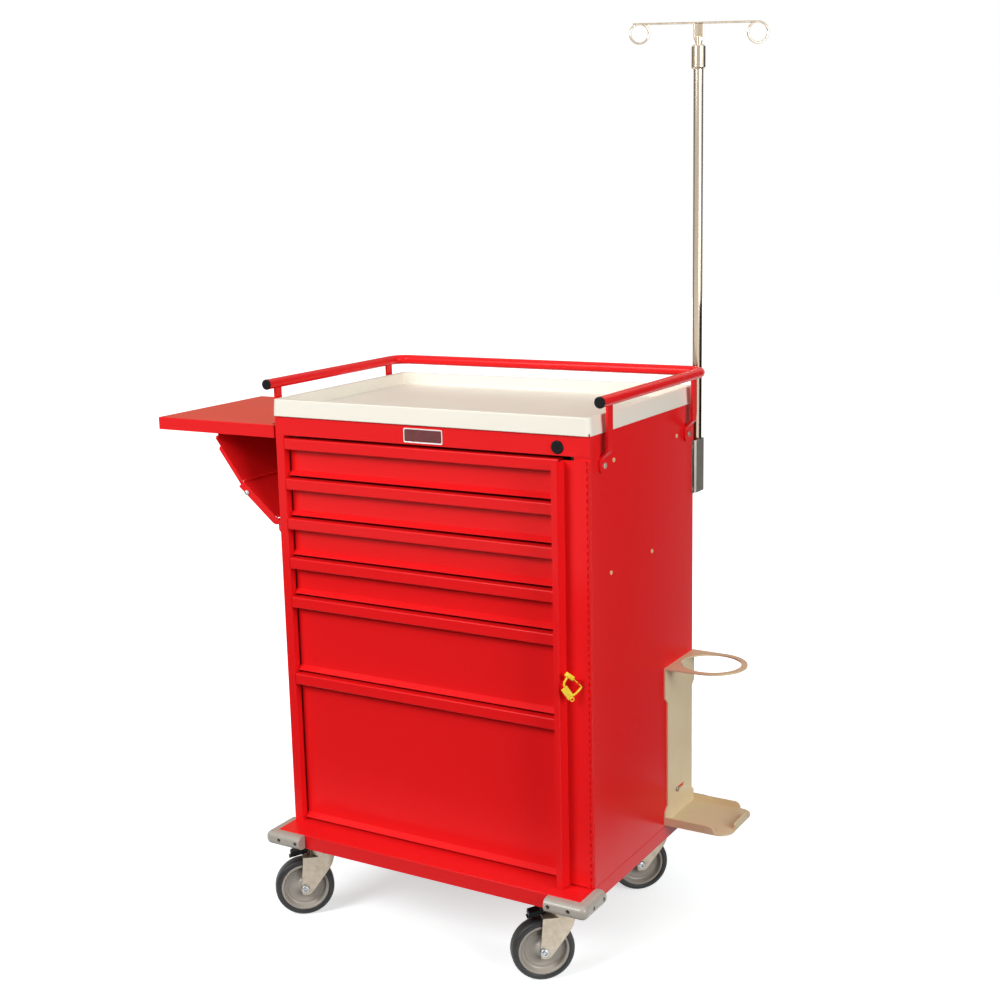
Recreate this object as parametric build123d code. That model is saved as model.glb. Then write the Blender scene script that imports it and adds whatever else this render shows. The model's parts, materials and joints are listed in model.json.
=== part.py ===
from build123d import *
from math import atan2, ceil, cos, degrees, hypot, pi, radians, sin, sqrt, tan
import os

# Crash cart in millimetres, +Z up, the drawer fronts facing -Y.
# It is drawn with x = 0 on the cabinet's centre line, y = 0 on the plane of the
# drawer fronts and z = 0 on the floor, and is moved at the end so that the origin
# is the centre of the bottom of its bounding box.

# ---------------------------------------------------------------- driving sizes
# Cabinet
width = 652.0
depth = 438.0
sheet = 1.5
bend = 0.8                  # inside radius of a folded corner
pan_sheet = 2.0
pan_lip = 10.0              # inward lip along the foot of the base pan
shell_height = 805.0        # from the base pan to the cabinet top
header_height = 39.5
base_height = 28.0
base_front = 52.0           # the base pan reaches this far before the drawers
base_rear = 38.0
rear_flange = 14.0
stile = 18.5                # left post beside the drawers
stile_return = 16.0
lock_column = 57.0          # right post behind the lock bar
column_notch_inset = 29.5   # its top is cut away from the drawers to here
column_notch_drop = 6.0

# Drawers
drawer_pitch = 76.2
drawer_units = (1, 1, 1, 1, 2)
drawer_top_gap = 6.5
drawer_gap = 5.7
drawer_floor_gap = 6.0
front_gap_left = 1.0
front_gap_right = 1.5
band_height = 21.0
band_hem = 4.0
recess = 19.0               # the recessed face lies this far behind the pull
ledge_out = 10.0
ledge_height = 8.5
box_depth = 400.0
box_sheet = 1.0
box_headroom = 17.0

# Drawer slides
slide_width = 12.7
slide_height = 35.0
slide_sheet = 1.2
slide_gap = 0.3
slide_rise = 6.0            # from the box floor to the slide
post_width = 30.0
post_inset = 24.0

# Tray and guard rail
tray_height = 31.0
tray_skirt = 4.0
tray_floor = 3.0
tray_wall = 9.0
tray_overhang = 4.0
tray_gap = 1.3
tray_radius = 11.0
tray_draft = 5.0
rail_radius = 9.5
rail_wall = 1.5
rail_offset = 18.0          # rail centre line outside the cabinet side
rail_rise = 52.5            # rail centre line above the cabinet top
rail_bend = 30.0
rail_front = 5.0
rail_back = 10.0
rail_post = 19.0
rail_post_thick = 4.0
rail_post_gap = 12.0
rail_post_front = 48.0
rail_post_front_left = 32.0
rail_post_rear_inset = 33.0
rail_tab_width = 33.0
rail_tab_drop = 60.0        # tab bolt below the cabinet top
rail_tab_height = 26.0
cap_depth = 3.0

# Fasteners
bolt_clearance = 0.1
m6_shank = 3.0
m6_head = 5.2
m6_head_height = 3.0
m4_shank = 2.0
m4_head = 3.8
m4_head_height = 1.8

# Header
plug_radius = 11.5
plug_inset = 59.0
plug_drop = 25.3
plug_crown = 2.5
plate_width = 80.5
plate_height = 26.0
plate_thick = 1.2
plate_rim = 1.6
plate_recess = 0.5

# Lock bar and its piano hinge
lock_top_gap = 6.5
lock_floor_gap = 3.0
lock_wall_inset = 47.0      # outer face of the standing wall from the cabinet side
lock_reach = 28.0
lock_lip = 10.3
lock_flange_end = 1.4
lock_corner = 3.0
leaf = 1.0
leaf_gap = 0.4
leaf_width = 13.0
knuckle = 2.4
knuckle_pitch = 12.7
lock_knuckle_pitch = 6.35
leaf_bite = 1.4             # how far a leaf runs into its knuckles
knuckle_gap = 0.15
pin_radius = 1.2
pin_gap = 0.08
part_gap = 0.3              # clearance between faces that pass each other

# Seal and the eye that it hangs in
eye_inset = 22.6
eye_height = 378.0          # above the cabinet floor
eye_width = 9.0
eye_reach = 16.5
eye_thick = 1.6
slot_width = 20.0
slot_height = 3.4
seal_turn = 55.0
seal_thick = 2.6
seal_rod = 1.2

# Corner bumpers
bumper_leg = 82.0
bumper_thick = 20.0
bumper_height = 26.0
bumper_round = 11.5
bumper_corner = 12.0
bumper_screw_near = 34.0
bumper_screw_far = 73.0
bumper_hole = 4.0
bumper_hole_depth = 13.0

# Pole bracket, pole and hooks
bracket_top_drop = 78.0
bracket_height = 101.0
bracket_lap = 9.0
bracket_gap = 5.0
bracket_reach = 41.0
bracket_flange = 21.5
bracket_sheet = 1.5
pole_radius = 9.0
pole_wall = 1.2
pole_seat = 0.1
pole_length = 799.5
pole_collar_radius = 12.75
pole_collar_height = 42.5
pole_collar_lap = 20.0
pole_collar_chamfer = 3.0
rod_radius = 5.5
rod_gap = 0.08
rod_insert = 560.0
rod_neck = 12.5
guide_height = 18.0
head_width = 17.6
head_thick = 8.0
head_height = 24.0
hook_wire = 1.9
hook_span = 216.0           # between the two loop centres
hook_tail = 11.0            # the bar runs on past the left loop's centre
hook_radius_left = 17.0
hook_radius_right = 18.5
hook_turn = 34.0
hook_loop_turns = 0.94

# Cylinder bracket on the right side
tank_sheet = 3.0
tank_inset = 67.0           # from the cabinet's back
tank_bottom = 184.5
tank_top = 497.0
tank_wide = 138.0
tank_narrow = 113.0
tank_shoulder = 12.0
tank_narrow_low = 220.0
tank_narrow_high = 425.0
tank_ring_reach = 66.0
tank_ring_bore = 56.0
tank_ring_width = 11.5
tank_tray_reach = 129.0
tank_side_reach = 101.0
tank_lip_width = 72.0
tank_corner = 27.0
tank_flange = 12.5
tank_slot_z = 239.0
tank_slot_length = 40.0
tank_bolt_z = 484.0

# Folding side shelf
shelf_drop = 23.0           # shelf top below the cabinet top
shelf_thick = 24.0
shelf_length = 286.0
shelf_depth = 322.0
shelf_front = 4.0
shelf_gap = 6.0
shelf_knuckle = 2.5
shelf_axis_out = 3.2
shelf_axis_rise = 1.5
shelf_hinge_front = 66.0
shelf_hinge_rear = 318.0
shelf_notch = 14.0
shelf_notch_gap = 1.0       # beside the guard rail's foot

# Folding brace under the shelf, in x from the cabinet side and down from the cabinet top
brace_wall_x = 16.0
brace_wall_drop = 200.0
brace_knee_x = 91.5
brace_knee_drop = 137.5
brace_tip_x = 153.5
brace_tip_drop = 55.5
brace_front = 9.5
brace_rear = 318.0
brace_low_flange = 15.0
brace_high_flange = 8.5
brace_knuckle = 2.5
brace_flange_start = 20.0
brace_foot = 33.0
brace_bolt_along = 20.0
brace_bolt_out = 11.0
brace_barrel_inset = 4.0
saddle_flange = 24.0

# Casters
wheel_radius = 57.5
wheel_half = 15.0
caster_height = 153.0       # floor to the underside of the base pan
caster_x = 264.0
caster_front = 8.0
caster_rear_inset = 25.0    # from the cabinet's back
caster_turn = 40.0
caster_trail = 41.0
rim_radius = 46.5
fork_half = 20.0
fork_sheet = 3.0
fork_top = 64.0             # above the axle
fork_front = 20.5           # the legs reach this far past the swivel axis
fork_foot = 13.0
axle_radius = 5.0
axle_head = 6.5
axle_gap = 0.08
king_radius = 6.0
swivel_radius = 27.0
plate_top_width = 66.0
plate_top_length = 90.0
plate_top_thick = 4.0
channel_margin = 4.5        # of the beams over the caster plates
pedal_pivot_u = 9.0
pedal_pivot_h = 70.0
pedal_angle = 12.0
pedal_length = 36.0
pedal_half = 10.0
pedal_pin = 1.5
pedal_boss = 3.6
lever_half = 7.0
lug_half = 2.0
lug_radius = 2.7

# ---------------------------------------------------------------- derived levels
half = width / 2
base_bottom = caster_height
caster_rear = depth - caster_rear_inset
base_top = base_bottom + base_height
cabinet_top = base_top + shell_height
header_bottom = cabinet_top - header_height
opening_left = -half + stile
opening_right = half - lock_column
front_left = opening_left + front_gap_left
front_right = opening_right - front_gap_right
box_left = opening_left + slide_width + part_gap
box_right = opening_right - slide_width - part_gap
box_front = recess + sheet
back_inner = depth - 2 * sheet

leaf_plane = leaf + leaf_gap
stile_plane = leaf_plane + leaf
lock_axis = (half - knuckle, knuckle + knuckle_gap)
corner_plane = lock_axis[1] + knuckle + part_gap
lock_low = base_top + lock_floor_gap
lock_high = header_bottom - lock_top_gap
lock_wall = half - lock_wall_inset

rail_x = half + rail_offset
rail_z = cabinet_top + rail_rise
tab_z = cabinet_top - rail_tab_drop
rail_post_rear = depth - rail_post_rear_inset
rail_posts = (
    (-1, rail_post_front_left),
    (-1, rail_post_rear),
    (1, rail_post_front),
    (1, rail_post_rear),
)

tank_y = depth - tank_inset
shelf_top = cabinet_top - shelf_drop
shelf_bottom = shelf_top - shelf_thick
shelf_inner = -half - shelf_gap
shelf_outer = shelf_inner - shelf_length
shelf_axis = (-half - shelf_axis_out, shelf_bottom + shelf_axis_rise)
wall_pivot = (-half - brace_wall_x, cabinet_top - brace_wall_drop)
knee = (-half - brace_knee_x, cabinet_top - brace_knee_drop)
tip = (-half - brace_tip_x, cabinet_top - brace_tip_drop)

pole_x = half + bracket_gap - bracket_sheet - pole_seat - pole_radius
pole_y = depth + bracket_reach - bracket_sheet - pole_seat - pole_radius
bracket_top = cabinet_top - bracket_top_drop
bracket_bottom = bracket_top - bracket_height
pole_top = bracket_bottom + pole_length
collar_bottom = pole_top - pole_collar_lap
collar_top = collar_bottom + pole_collar_height
head_bottom = collar_top + rod_neck
head_top = head_bottom + head_height
hook_z = head_top + hook_wire

right_screws = (
    (91.5, cabinet_top - 58),
    (depth - 81, cabinet_top - 57),
    (247.0, cabinet_top - 251),
    (78.0, cabinet_top - 252),
)
right_holes = (
    (54.0, cabinet_top - 87),
    (54.0, cabinet_top - 114),
    (186.0, base_top + 250),
    (106.0, base_top + 250),
)

nodes = {}


# ---------------------------------------------------------------- building blocks
def keep(name, *shapes):
    """File the solids of one node under its name."""
    nodes[name] = [solid for shape in shapes for solid in shape.solids()]


def block(x, y, z):
    """A box from three (low, high) pairs."""
    centre = Pos(sum(x) / 2, sum(y) / 2, sum(z) / 2)
    return centre * Box(x[1] - x[0], y[1] - y[0], z[1] - z[0])


def bar(start, end, radius):
    """A round bar between two points."""
    line = Vector(*end) - Vector(*start)
    plane = Plane(origin=start, z_dir=line)
    return extrude(plane * Circle(radius), line.length)


def outline(points, radii=None):
    """A closed flat face, with a radius at the corners that have one."""
    closed = list(points) + [points[0]]
    twice_area = sum(ax * by - bx * ay for (ax, ay), (bx, by) in zip(closed, closed[1:]))
    if twice_area < 0:
        points = points[::-1]
        radii = radii[::-1] if radii else None
    face = Face(Wire.make_polygon([Vector(*point) for point in points], close=True))
    for point, radius in zip(points, radii or ()):
        if radius > 0:
            corner = face.vertices().sort_by_distance(Vector(*point))[0]
            face = face.fillet_2d(radius, [corner])
    return face


def turn_at(points, index):
    """The angle by which a path turns at one of its points, left turns positive."""
    (ax, ay), (bx, by), (cx, cy) = points[index - 1:index + 2]
    angle = atan2(cy - by, cx - bx) - atan2(by - ay, bx - ax)
    return (angle + pi) % (2 * pi) - pi


def folded(points, thick=sheet):
    """The section of sheet folded along a path, with its thickness to the left."""
    last = len(points) - 1
    inner = []
    near_radii = []
    far_radii = []
    for index, (x, y) in enumerate(points):
        turn = turn_at(points, index) if 0 < index < last else 0
        before = points[max(index - 1, 0)]
        after = points[min(index + 1, last)]
        if index == 0:
            before, after = points[0], points[1]
        if index == last:
            before, after = points[last - 1], points[last]
        if turn:
            ahead = atan2(after[1] - y, after[0] - x)
            facing = ahead - turn / 2
        else:
            facing = atan2(after[1] - before[1], after[0] - before[0])
        reach = thick / cos(turn / 2)
        inner.append((x - reach * sin(facing), y + reach * cos(facing)))
        sharp = abs(turn) < radians(60)
        near_radii.append(0 if sharp else bend + (thick if turn > 0 else 0))
        far_radii.append(0 if sharp else bend + (thick if turn < 0 else 0))
    return outline(list(points) + inner[::-1], near_radii + far_radii[::-1])


def upright(face, low, high):
    """Extrude a plan outline between two heights."""
    return extrude(Pos(0, 0, low) * face, high - low)


def along_x(face, left, right):
    """Extrude a (y, z) section between two x values."""
    return extrude(Plane(origin=(left, 0, 0), x_dir=(0, 1, 0), z_dir=(1, 0, 0)) * face, right - left)


def along_y(face, front, rear, origin=(0, 0), angle=0.0):
    """Extrude an (x, z) section, turned about an origin, between two y values."""
    aim = (cos(radians(angle)), 0, sin(radians(angle)))
    plane = Plane(origin=(origin[0], rear, origin[1]), x_dir=aim, z_dir=(0, -1, 0))
    return extrude(plane * face, rear - front)


def mirrored(shape):
    """The same piece on the other side of the centre line."""
    return mirror(shape, about=Plane.YZ)


def side_bolt(side, y, z, seat, shank, head, head_height, length):
    """A bolt through a cabinet side, its head seated on a face outside it."""
    outer = seat + head_height
    stem = bar((side * (half - length), y, z), (side * seat, y, z), shank)
    dome = bar((side * seat, y, z), (side * outer, y, z), head)
    rim = dome.edges().filter_by(GeomType.CIRCLE).sort_by(Axis.X)
    outer_rim = rim[-1] if side > 0 else rim[0]
    return stem + fillet(outer_rim, head_height * 0.45)


def side_hole(side, y, z, radius, reach=40.0):
    """A cutter for a hole through a cabinet side."""
    return bar((side * (half - reach), y, z), (side * (half + reach), y, z), radius)


def hinge_half(section, own_first, along, bay, cut_section):
    """Cut every second knuckle out of one half of a hinge.

    section extrudes a face over the hinge's length, cut_section does the same over
    one bay, and own_first says whether this half owns the first knuckle.
    """
    cutters = []
    count = round((along[1] - along[0]) / bay)
    pitch = (along[1] - along[0]) / count
    for index in range(count):
        owned = (index % 2 == 0) == own_first
        if not owned:
            low = along[0] + index * pitch - knuckle_gap
            high = along[0] + (index + 1) * pitch + knuckle_gap
            cutters.append(cut_section(max(low, along[0] - 1), min(high, along[1] + 1)))
    return section - cutters


# ---------------------------------------------------------------- cabinet shell
def side_panels():
    left_path = (
        (-half + rear_flange, depth),
        (-half, depth),
        (-half, 0),
        (opening_left, 0),
        (opening_left, stile_return),
    )
    right_path = (
        (opening_right, stile_return + stile_plane),
        (opening_right, stile_plane),
        (half - 7.0, stile_plane),
        (half - 7.0 + corner_plane - stile_plane, corner_plane),
        (half, corner_plane),
        (half, depth),
        (half - rear_flange, depth),
    )
    left = upright(folded(left_path), base_top, cabinet_top)
    right = upright(folded(right_path), base_top, cabinet_top)
    above = (header_bottom, cabinet_top + 1)
    header_ends = block((-half - 1, half + 1), (-1, corner_plane), above)
    behind_header = block((-half + sheet, half - sheet), (-1, 2 * stile_return), above)
    left = left - header_ends - behind_header
    right = right - header_ends - behind_header
    right = right - block(
        (opening_right - 1, half - column_notch_inset),
        (-1, stile_return + stile_plane + 1),
        (lock_high - column_notch_drop, header_bottom + 1),
    )
    for side, y in rail_posts:
        hole = side_hole(side, y, tab_z, m6_shank + bolt_clearance)
        left = left - hole if side < 0 else left
        right = right - hole if side > 0 else right
    for y, z in right_screws:
        right = right - side_hole(1, y, z, m4_shank + bolt_clearance)
    for y, z in right_holes:
        right = right - side_hole(1, y, z, 1.5, reach=2 * sheet)
    for y, z in pole_screw_places():
        right = right - side_hole(1, y, z, m4_shank + bolt_clearance)
    for y, z in tank_bolt_places():
        right = right - side_hole(1, y, z, m6_shank + bolt_clearance)
    keep("left_side_panel", left)
    keep("right_side_panel", right)


def shell_panels():
    header_path = ((-half, corner_plane), (-half, 0), (half, 0), (half, corner_plane))
    header = upright(folded(header_path), header_bottom, cabinet_top)
    inside = (-half + sheet, half - sheet)
    flange = block(inside, (sheet, stile_return), (header_bottom, header_bottom + sheet))
    plug_at = (half - plug_inset, cabinet_top - plug_drop)
    hole = bar((plug_at[0], -1, plug_at[1]), (plug_at[0], 5, plug_at[1]), plug_radius - 2)
    keep("header_panel", header + flange - hole)
    top = block(inside, (sheet, depth - sheet), (cabinet_top - sheet, cabinet_top))
    keep("top_panel", fillet(top.edges().filter_by(Axis.Z), 2 * bend))
    between = (-half + sheet + bend, half - sheet - bend)
    back = block(between, (back_inner, depth - sheet), (base_top, cabinet_top - sheet))
    keep("back_panel", back)

    crown = bar((plug_at[0], 0, plug_at[1]), (plug_at[0], -plug_crown, plug_at[1]), plug_radius)
    crown = fillet(crown.edges().filter_by(GeomType.CIRCLE).sort_by(Axis.Y)[0], plug_crown * 0.8)
    stem = bar((plug_at[0], 0, plug_at[1]), (plug_at[0], 6, plug_at[1]), plug_radius - 2 - bolt_clearance)
    keep("header_plug", crown + stem)

    plate_z = cabinet_top - plug_drop + 2.3
    face = Plane(origin=(2, 0, plate_z), x_dir=(1, 0, 0), z_dir=(0, -1, 0))
    plate = extrude(face * RectangleRounded(plate_width, plate_height, 3), plate_thick)
    field_face = Plane(origin=(2, -plate_thick, plate_z), x_dir=(1, 0, 0), z_dir=(0, 1, 0))
    field = RectangleRounded(plate_width - 2 * plate_rim, plate_height - 2 * plate_rim, 2)
    keep("nameplate", plate - extrude(field_face * field, plate_recess))


def base_pan():
    ahead = -base_front
    behind = depth + base_rear
    shell = block((-half, half), (ahead, behind), (base_bottom, base_top))
    shell = fillet(shell.edges().filter_by(Axis.Z), 3)
    shell = fillet(shell.faces().sort_by(Axis.Z)[-1].edges(), 1.5)
    room = block(
        (-half + pan_sheet, half - pan_sheet),
        (ahead + pan_sheet, behind - pan_sheet),
        (base_bottom + pan_sheet, base_top - pan_sheet),
    )
    mouth = block(
        (-half + pan_lip, half - pan_lip),
        (ahead + pan_lip, behind - pan_lip),
        (base_bottom - 1, base_bottom + pan_sheet + 1),
    )
    pan = shell - room - mouth
    for hole in bumper_screw_lines(m4_shank + bolt_clearance):
        pan = pan - hole
    keep("base_pan", pan)

    channels = []
    for y in (caster_front, caster_rear):
        reach = plate_top_length / 2 + channel_margin
        path = (
            (y - reach, base_top - pan_sheet),
            (y - reach, base_bottom),
            (y + reach, base_bottom),
            (y + reach, base_top - pan_sheet),
        )
        beam = along_x(folded(path, pan_sheet), -half + 15, half - 15)
        for x, by, z in caster_bolt_places():
            if abs(by - y) < reach:
                beam = beam - bar((x, by, z - 1), (x, by, z + 8), m4_shank + 1 + bolt_clearance)
        channels.append(beam)
    keep("base_channels", *channels)


# ---------------------------------------------------------------- drawers
def drawer_levels():
    """Top and bottom of each drawer front."""
    levels = []
    top = header_bottom - drawer_top_gap
    for units in drawer_units:
        levels.append((top, top - units * drawer_pitch + drawer_gap))
        top = top - units * drawer_pitch
    levels.append((top, base_top + drawer_floor_gap))
    return levels


def drawer_front(top, bottom):
    # The outline follows the sheet's outer face and then returns along its inner face.
    t = sheet
    section = (
        (recess - ledge_out, bottom),
        (recess, bottom + ledge_height),
        (recess, top - t),
        (t, top - t),
        (t, top - band_height + t),
        (band_hem, top - band_height + t),
        (band_hem, top - band_height),
        (0, top - band_height),
        (0, top),
        (recess + t, top),
        (recess + t, bottom + ledge_height - 0.5),
        (recess - ledge_out + 2.5 * t, bottom + t),
        (recess + 12, bottom + t),
        (recess + 12, bottom),
    )
    radii = (0, 0, bend, bend, bend, 0, 0, bend + t, bend + t, bend + t, 0, 0, 0, 0)
    return along_x(outline(section, radii), front_left, front_right)


def box_heights(top, bottom):
    """Floor and rim of the box behind a drawer front."""
    return bottom + sheet, top - box_headroom


def slide_heights(top, bottom):
    floor = box_heights(top, bottom)[0]
    return floor + slide_rise, floor + slide_rise + slide_height


def drawer_box(top, bottom):
    floor, rim = box_heights(top, bottom)
    back = box_front + box_depth
    tub = block((box_left, box_right), (box_front, back), (floor, rim))
    room = block(
        (box_left + box_sheet, box_right - box_sheet),
        (box_front + box_sheet, back - box_sheet),
        (floor + box_sheet, rim + 1),
    )
    under_ledge = block((box_left - 1, box_right + 1), (box_front - 1, recess + 12), (floor - 1, floor))
    return tub - room - under_ledge


def runner(side, top, bottom):
    """The moving member of a slide, a channel that opens towards the cabinet side."""
    low, high = slide_heights(top, bottom)
    gap = slide_sheet + slide_gap
    back = box_right if side > 0 else box_left
    mouth = opening_right - gap if side > 0 else opening_left + gap
    path = (
        (mouth, high - gap),
        (back, high - gap),
        (back, low + gap),
        (mouth, low + gap),
    )
    path = path if side < 0 else path[::-1]
    section = channel_section(back, mouth, low + gap, high - gap)
    return along_y(section, box_front + 2, box_front + box_depth)


def channel_section(web, mouth, low, high):
    """A channel's section: its web at one x, its lips reaching to another."""
    inward = 1 if mouth > web else -1
    t = slide_sheet
    points = (
        (mouth, low),
        (web, low),
        (web, high),
        (mouth, high),
        (mouth, high - t),
        (web + inward * t, high - t),
        (web + inward * t, low + t),
        (mouth, low + t),
    )
    return outline(points)


def slide_channels():
    """The fixed members, screwed to the posts behind the stiles."""
    channels = []
    for top, bottom in drawer_levels():
        low, high = slide_heights(top, bottom)
        for web, mouth in (
            (opening_left, box_left - part_gap),
            (opening_right, box_right + part_gap),
        ):
            section = channel_section(web, mouth, low, high)
            channels.append(along_y(section, box_front + 2, box_front + box_depth))
    keep("slide_channels", *channels)


def slide_posts():
    """Four upright channels that carry the slides inside the cabinet."""
    posts = []
    low = base_top
    high = header_bottom
    for outer, inner in ((-half + sheet, opening_left), (half - sheet, opening_right)):
        inward = 1 if inner > outer else -1
        for y in (box_front + post_inset, box_front + box_depth - post_inset - post_width):
            far = y + post_width
            points = (
                (outer, y),
                (inner, y),
                (inner, far),
                (outer, far),
                (outer, far - sheet),
                (inner - inward * sheet, far - sheet),
                (inner - inward * sheet, y + sheet),
                (outer, y + sheet),
            )
            post = upright(outline(points), low, high)
            for side, by in rail_posts:
                post = post - side_hole(side, by, tab_z, m6_head + 1)
            for by, bz in right_screws:
                post = post - side_hole(1, by, bz, m4_shank + 1)
            posts.append(post)
    keep("slide_posts", *posts)


def drawers():
    for number, (top, bottom) in enumerate(drawer_levels(), start=1):
        keep(f"drawer_{number}_front", drawer_front(top, bottom))
        keep(f"drawer_{number}_box", drawer_box(top, bottom), runner(-1, top, bottom), runner(1, top, bottom))


# ---------------------------------------------------------------- tray and rail
def tray():
    low = cabinet_top - tray_skirt
    size = (width + 2 * tray_overhang, depth + 2 * tray_overhang)
    centre = Pos(0, depth / 2, low)
    outer = extrude(centre * RectangleRounded(*size, tray_radius), tray_height, taper=tray_draft)
    inner_size = (size[0] - 2 * tray_wall - 6, size[1] - 2 * tray_wall - 6)
    floor_at = Pos(0, depth / 2, cabinet_top + tray_floor)
    depth_inside = tray_height - tray_skirt - tray_floor
    inner_face = floor_at * RectangleRounded(*inner_size, tray_radius - 4)
    room = extrude(inner_face, depth_inside + 1, taper=-tray_draft)
    skirt = block(
        (-half - tray_gap, half + tray_gap),
        (-tray_gap, depth + tray_gap),
        (low - 1, cabinet_top),
    )
    body = outer - room - skirt
    rim = body.faces().filter_by(Axis.Z).sort_by(Axis.Z)[-1]
    body = fillet(rim.edges(), 1.5)
    floor_edges = body.faces().filter_by(Axis.Z).sort_by(Axis.Z)
    floor_face = [face for face in floor_edges if abs(face.center().Z - cabinet_top - tray_floor) < 0.01][0]
    body = fillet(floor_face.edges(), 3)
    keep("tray", body)


def rail_strap(side, y):
    """A flat post below the rail, joggled in to a rounded tab on the cabinet side."""
    t = rail_post_thick
    out = half + rail_post_gap + t
    top = rail_z - rail_radius + rail_wall * 0.75
    tab_top = tab_z + rail_tab_height / 2
    tab_low = tab_z - rail_tab_height / 2
    step = out - half - t
    path = (
        (out, top),
        (out, tab_top + step),
        (half + t, tab_top),
        (half + t, tab_z),
    )
    strap = along_y(folded(path[::-1], t), y - rail_post / 2, y + rail_post / 2)
    tab = block((half, half + t), (y - rail_tab_width / 2, y + rail_tab_width / 2), (tab_low, tab_top))
    low_edges = tab.edges().filter_by(Axis.X).group_by(Axis.Z)[0]
    tab = fillet(low_edges, 12)
    tab = chamfer(tab.edges().filter_by(Axis.X).group_by(Axis.Z)[-1], 3)
    post = strap + tab - side_hole(1, y, tab_z, m6_shank + bolt_clearance)
    return post if side > 0 else mirrored(post)


def guard_rail():
    front = rail_front
    back = depth + rail_back
    corners = ((-rail_x, front), (-rail_x, back), (rail_x, back), (rail_x, front))
    points = [(x, y, rail_z) for x, y in corners]
    path = FilletPolyline(*points, radius=rail_bend)
    start = Plane(origin=points[0], z_dir=(0, 1, 0))
    tube = sweep(start * (Circle(rail_radius) - Circle(rail_radius - rail_wall)), path=path)
    rail = tube
    for side, y in rail_posts:
        rail = rail + rail_strap(side, y)
    keep("guard_rail", rail)

    caps = []
    for x in (-rail_x, rail_x):
        crown = bar((x, front, rail_z), (x, front - cap_depth, rail_z), rail_radius + 0.4)
        crown = fillet(crown.edges().filter_by(GeomType.CIRCLE).sort_by(Axis.Y)[0], cap_depth * 0.6)
        stem = bar((x, front, rail_z), (x, front + 8, rail_z), rail_radius - rail_wall - bolt_clearance)
        caps.append(crown + stem)
    keep("rail_end_caps", *caps)


# ---------------------------------------------------------------- fasteners
def pole_screw_places():
    y = depth - bracket_lap / 2 - 1
    return ((y, bracket_top - 11), (y, bracket_bottom + 9))


def tank_bolt_places():
    return ((tank_y - tank_slot_length / 2 + 6, tank_slot_z), (tank_y, tank_bolt_z))


def bumper_corners():
    """Signs and position of each corner of the base pan."""
    ahead = -base_front
    behind = depth + base_rear
    return ((-1, -1, ahead), (1, -1, ahead), (-1, 1, behind), (1, 1, behind))


def bumper_screw_lines(radius):
    """A bar along each bumper screw."""
    z = base_bottom + base_height / 2
    lines = []
    for sx, sy, edge in bumper_corners():
        for along in (bumper_screw_near, bumper_screw_far):
            x = sx * (half + bumper_thick - along)
            lines.append(bar((x, edge + sy * bumper_thick, z), (x, edge - sy * 8, z), radius))
            y = edge + sy * (bumper_thick - along)
            lines.append(bar((sx * (half + bumper_thick), y, z), (sx * (half - 8), y, z), radius))
    return lines


def caster_places():
    """Number, swivel axis and whether the caster has a brake."""
    return (
        ("front_left", -caster_x, caster_front, True),
        ("front_right", caster_x, caster_front, True),
        ("rear_left", -caster_x, caster_rear, False),
        ("rear_right", caster_x, caster_rear, False),
    )


def caster_bolt_places():
    places = []
    for _, x, y, _ in caster_places():
        for sx in (-1, 1):
            for sy in (-1, 1):
                bx = x + sx * (plate_top_width / 2 - 9)
                by = y + sy * (plate_top_length / 2 - 9)
                places.append((bx, by, base_bottom))
    return places


def fasteners():
    zinc = []
    for side, y in rail_posts:
        seat = half + rail_post_thick
        zinc.append(side_bolt(side, y, tab_z, seat, m6_shank, m6_head, m6_head_height, 12))
    for y, z in tank_bolt_places():
        seat = half + tank_sheet
        zinc.append(side_bolt(1, y, z, seat, m6_shank, m6_head, m6_head_height, 12))
    brass = []
    for y, z in right_screws:
        brass.append(side_bolt(1, y, z, half, m4_shank, m4_head, m4_head_height, 6))
    keep("side_screws", *brass)

    z = base_bottom + base_height / 2
    seat = bumper_thick - bumper_hole_depth
    for sx, sy, edge in bumper_corners():
        for along in (bumper_screw_near, bumper_screw_far):
            x = sx * (half + bumper_thick - along)
            y0 = edge + sy * seat
            stem = bar((x, y0, z), (x, edge - sy * 8, z), m4_shank)
            zinc.append(stem + bar((x, y0, z), (x, y0 + sy * 2.5, z), bumper_hole - 0.4))
            y = edge + sy * (bumper_thick - along)
            x0 = sx * (half + seat)
            stem = bar((x0, y, z), (sx * (half - 8), y, z), m4_shank)
            zinc.append(stem + bar((x0, y, z), (x0 + sx * 2.5, y, z), bumper_hole - 0.4))
    for x, y, z in caster_bolt_places():
        head = bar((x, y, z - plate_top_thick), (x, y, z - plate_top_thick - 3), 5)
        zinc.append(head + bar((x, y, z - plate_top_thick), (x, y, z + 8), m4_shank + 1))
    keep("zinc_bolts", *zinc)


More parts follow.
